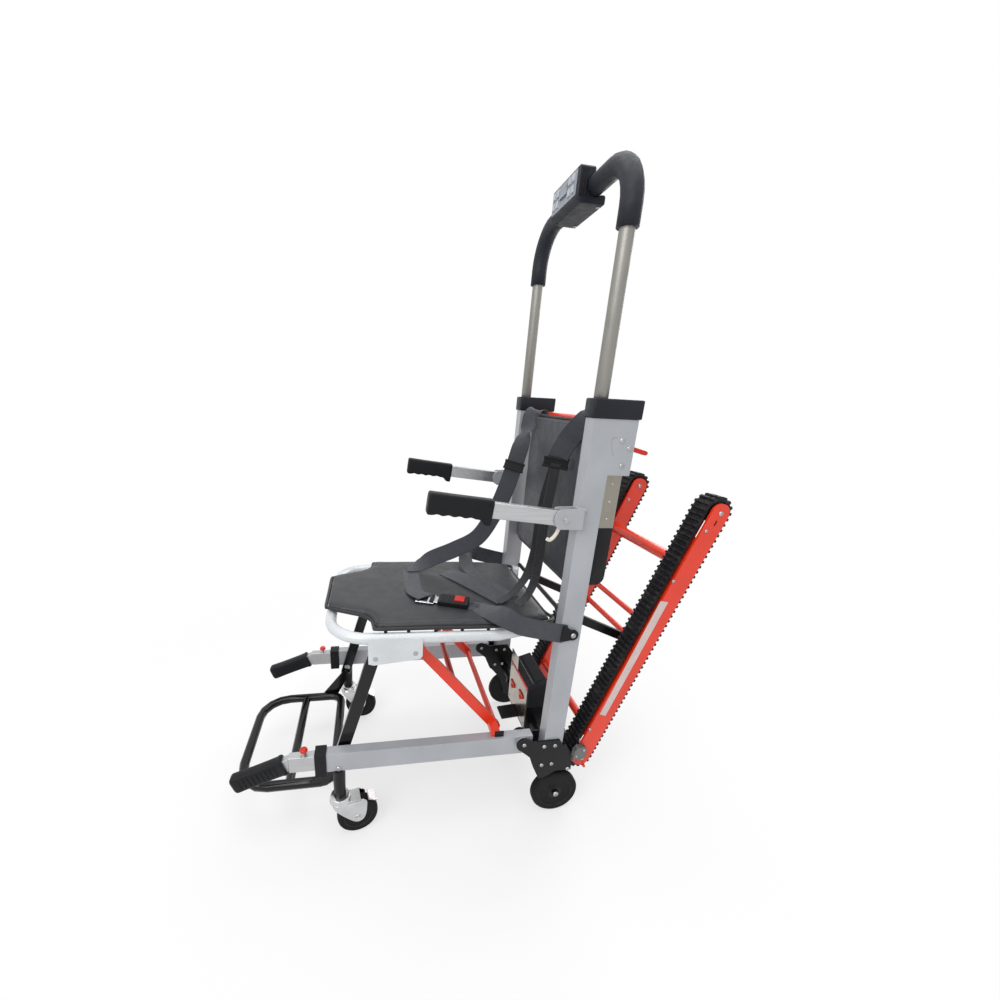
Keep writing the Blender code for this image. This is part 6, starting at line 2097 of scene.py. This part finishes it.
    def tape(self, side: int, tag: str) -> None:
        """The reflective strip on the outer plate.

        Args:
            side: One for left, minus one for right.
            tag: Left or right, for the name.
        """
        outline = ((0.8375, 0.588), (0.8585, 0.584), (0.7470, 0.2635), (0.7305, 0.2700))
        low, high = sorted((side * (self.outer_x + 0.0001), side * (self.outer_x + 0.0005)))
        Shape().plate(outline, low, high).build(f"track_tape_{tag}", "track", TAPE)


# ---------------------------------------------------------------- the drive unit


@dataclass
class DriveUnit:
    """The drive housing, the battery with its lid and the release pedal."""

    front: float = 0.580
    rear: float = 0.637
    lid_height: Pair = (0.272, 0.291)

    def build(self) -> None:
        """Dresses the unit and adds its plate, lid and trim."""
        dress(SATIN_BLACK, "drive_housing", edge=0.0008)
        dress(LID_PLASTIC, "battery_pack", edge=0.0006)
        dress(GRIP_RUBBER, "foot_pedal", edge=0.0006)
        self.front_plate()
        self.lid()

    def front_plate(self) -> None:
        """The stainless plate on the front of the unit, its screws and the red catches."""
        plate = Shape()
        outline = [
            (-0.072, 0.136), (0.066, 0.136), (0.070, 0.140), (0.070, 0.266), (-0.012, 0.266), (-0.016, 0.310),
            (-0.072, 0.310),
        ]
        plate.loft([
            [PLAN.at(x, self.front - depth, z) for x, z in outline] for depth in (0.0001, 0.0016)])
        plate.tag = 1
        for x, z in ((-0.064, 0.146), (0.060, 0.146), (-0.064, 0.256), (0.060, 0.256)):
            plate.bolt(PLAN.at(x, self.front - 0.0014, z), Vector((0, -1, 0)), 0.0036, 0.0020)
        plate.build("unit_plate", "chair", CROSS_STEEL, BOLT_STEEL, edge=0.0004)
        catch = Shape()
        for x, z in ((-0.040, 0.206), (0.030, 0.222)):
            near = self.front - 0.0010
            catch.block((x - 0.016, self.front - 0.0050, z - 0.006), (x + 0.016, near, z + 0.006))
            catch.block((x - 0.005, self.front - 0.0075, z - 0.014), (x + 0.005, near, z - 0.004))
        catch.build("unit_catches", "chair", RED_PLASTIC, edge=0.0012)

    def top(self, y: float) -> float:
        """Height of the sloping lid at a depth."""
        low, high = self.lid_height
        return low + (y - self.front) * (high - low) / (self.rear - self.front)

    def lid(self) -> None:
        """The battery lid's parting line, its raised panel and the red edge."""
        lid = Shape()
        ring = [(-0.068, 0.585), (0.068, 0.585), (0.068, 0.632), (-0.068, 0.632)]
        lid.tube([PLAN.at(x, y, self.top(y) + 0.0001) for x, y in ring], 0.0008, 8, closed=True)
        panel = [(-0.058, 0.606), (0.058, 0.606), (0.058, 0.626), (-0.058, 0.626)]
        lid.loft([
            [PLAN.at(x * share, y, self.top(y) + rise) for x, y in panel]
            for share, rise in ((1.0, -0.0005), (1.0, 0.0016), (0.985, 0.0024))])
        lid.tag = 1
        lid.tube([PLAN.at(x, 0.598, self.top(0.598) + 0.0001) for x in (-0.060, 0.060)], 0.0009, 8)
        lid.build("battery_lid", "chair", LID_PLASTIC, SEAM_GREY, edge=0.0006)
        edge = Shape()
        edge.block((-0.071, self.front - 0.0030, 0.2630), (0.071, self.front + 0.0006, 0.2705))
        edge.build("battery_edge", "chair", RED_PLASTIC, edge=0.0012)


# ---------------------------------------------------------------- studio


@dataclass
class Studio:
    """Floor, soft light and the camera."""

    eye: Triple = (1.0208, 0.1586, 1.0380)
    yaw: float = 0.1606
    pitch: float = 0.3041
    roll: float = 0.0328
    lens: float = 15.386
    shift: Pair = (0.0616, 0.0308)

    def build(self) -> None:
        """Sets the stage."""
        self.floor()
        self.world()
        self.lamp("key_light", (1.9, -1.7, 2.4), 1.8, 46.0)
        self.lamp("top_light", (0.0, 0.1, 3.0), 2.4, 36.0)
        self.lamp("back_light", (-1.6, 1.9, 2.0), 1.8, 30.0)
        self.camera()
        bpy.context.scene.view_settings.view_transform = "Standard"

    @staticmethod
    def floor() -> None:
        """The pale floor, which keeps the chair's shadow and fades to white with distance."""
        mesh = bpy.data.meshes.new("floor")
        reach = 30.0
        corners = [(-reach, -reach, 0), (reach, -reach, 0), (reach, reach, 0), (-reach, reach, 0)]
        mesh.from_pydata(corners, [], [(0, 1, 2, 3)])
        floor = bpy.data.objects.new("floor", mesh)
        bpy.context.scene.collection.objects.link(floor)
        recipe = Recipe("pale_floor")
        recipe.set(Base_Color=linear((236, 236, 236)), Roughness=0.9)
        glow = recipe.add("ShaderNodeEmission")
        length = recipe.add("ShaderNodeVectorMath", operation="LENGTH")
        recipe.put(length.inputs[0], recipe.spot)
        rays = recipe.add("ShaderNodeLightPath")
        seen = recipe.sum("MAXIMUM", rays.outputs["Is Camera Ray"], recipe.sum(
            "MAXIMUM", rays.outputs["Is Glossy Ray"], rays.outputs["Is Transmission Ray"]))
        far = recipe.remap(length.outputs["Value"], (0.45, 1.6), (0.62, 1.0))
        mix = recipe.add("ShaderNodeMixShader")
        recipe.put(mix.inputs[0], recipe.sum("MULTIPLY", seen, far))
        recipe.put(mix.inputs[1], recipe.shader.outputs[0])
        recipe.put(mix.inputs[2], glow.outputs[0])
        recipe.put(recipe.tree.nodes["Material Output"].inputs["Surface"], mix.outputs[0])
        mesh.materials.append(recipe.material)

    @staticmethod
    def world() -> None:
        """An even white surround that lights at a lower level than it shows."""
        world = bpy.data.worlds.new("studio")
        bpy.context.scene.world = world
        world.use_nodes = True
        tree = world.node_tree
        back = tree.nodes["Background"]
        back.inputs["Color"].default_value = (1, 1, 1, 1)
        rays = tree.nodes.new("ShaderNodeLightPath")
        first, second = (tree.nodes.new("ShaderNodeMath") for _ in range(2))
        first.operation = second.operation = "MAXIMUM"
        level = tree.nodes.new("ShaderNodeMapRange")
        level.inputs["To Min"].default_value = 0.55
        for source, target in (
            (rays.outputs["Is Camera Ray"], first.inputs[0]),
            (rays.outputs["Is Glossy Ray"], first.inputs[1]),
            (first.outputs[0], second.inputs[0]),
            (rays.outputs["Is Transmission Ray"], second.inputs[1]),
            (second.outputs[0], level.inputs["Value"]),
            (level.outputs["Result"], back.inputs["Strength"]),
        ):
            tree.links.new(source, target)

    @staticmethod
    def lamp(name: str, spot: Triple, size: float, power: float) -> None:
        """A square soft lamp that looks at the middle of the chair.

        Args:
            name: Name of the lamp.
            spot: Where it stands.
            size: Length of a side.
            power: Power in watts.
        """
        data = bpy.data.lights.new(name, "AREA")
        data.size, data.energy = size, power
        lamp = bpy.data.objects.new(name, data)
        bpy.context.scene.collection.objects.link(lamp)
        lamp.location = spot
        lamp.rotation_euler = (Vector((0, 0, 0.6)) - Vector(spot)).to_track_quat("-Z", "Y").to_euler()

    def camera(self) -> None:
        """The camera at the photograph's place."""
        data = bpy.data.cameras.new("camera")
        data.lens, data.sensor_width = self.lens, 36.0
        data.shift_x, data.shift_y = self.shift
        data.clip_start = 0.01
        camera = bpy.data.objects.new("camera", data)
        bpy.context.scene.collection.objects.link(camera)
        level = math.cos(self.pitch)
        ahead = Vector((-math.cos(self.yaw) * level, math.sin(self.yaw) * level, -math.sin(self.pitch)))
        right = Vector((math.sin(self.yaw), math.cos(self.yaw), 0))
        up = right.cross(ahead)
        right, up = (
            math.cos(self.roll) * right + math.sin(self.roll) * up,
            -math.sin(self.roll) * right + math.cos(self.roll) * up,
        )
        turn = Matrix((right, up, -ahead)).transposed().to_4x4()
        camera.matrix_world = Matrix.Translation(PLAN.at(*self.eye)) @ turn
        bpy.context.scene.camera = camera


def main() -> None:
    """Builds the chair's pieces in order."""
    logging.basicConfig(level=logging.INFO, format="%(message)s")
    Studio().build()
    BackFrame().build()
    PushHandle().build()
    SeatAssembly().build()
    Harness().build()
    for side, tag in SIDES:
        Armrest(side, tag).build()
        BaseSide(side, tag).build()
        Castor(side, tag).build()
        RearWheel(side, tag).build()
    LowerFrame().build()
    CrawlerTrack().build()
    DriveUnit().build()
    bpy.context.view_layer.update()


if __name__ == "__main__":
    main()
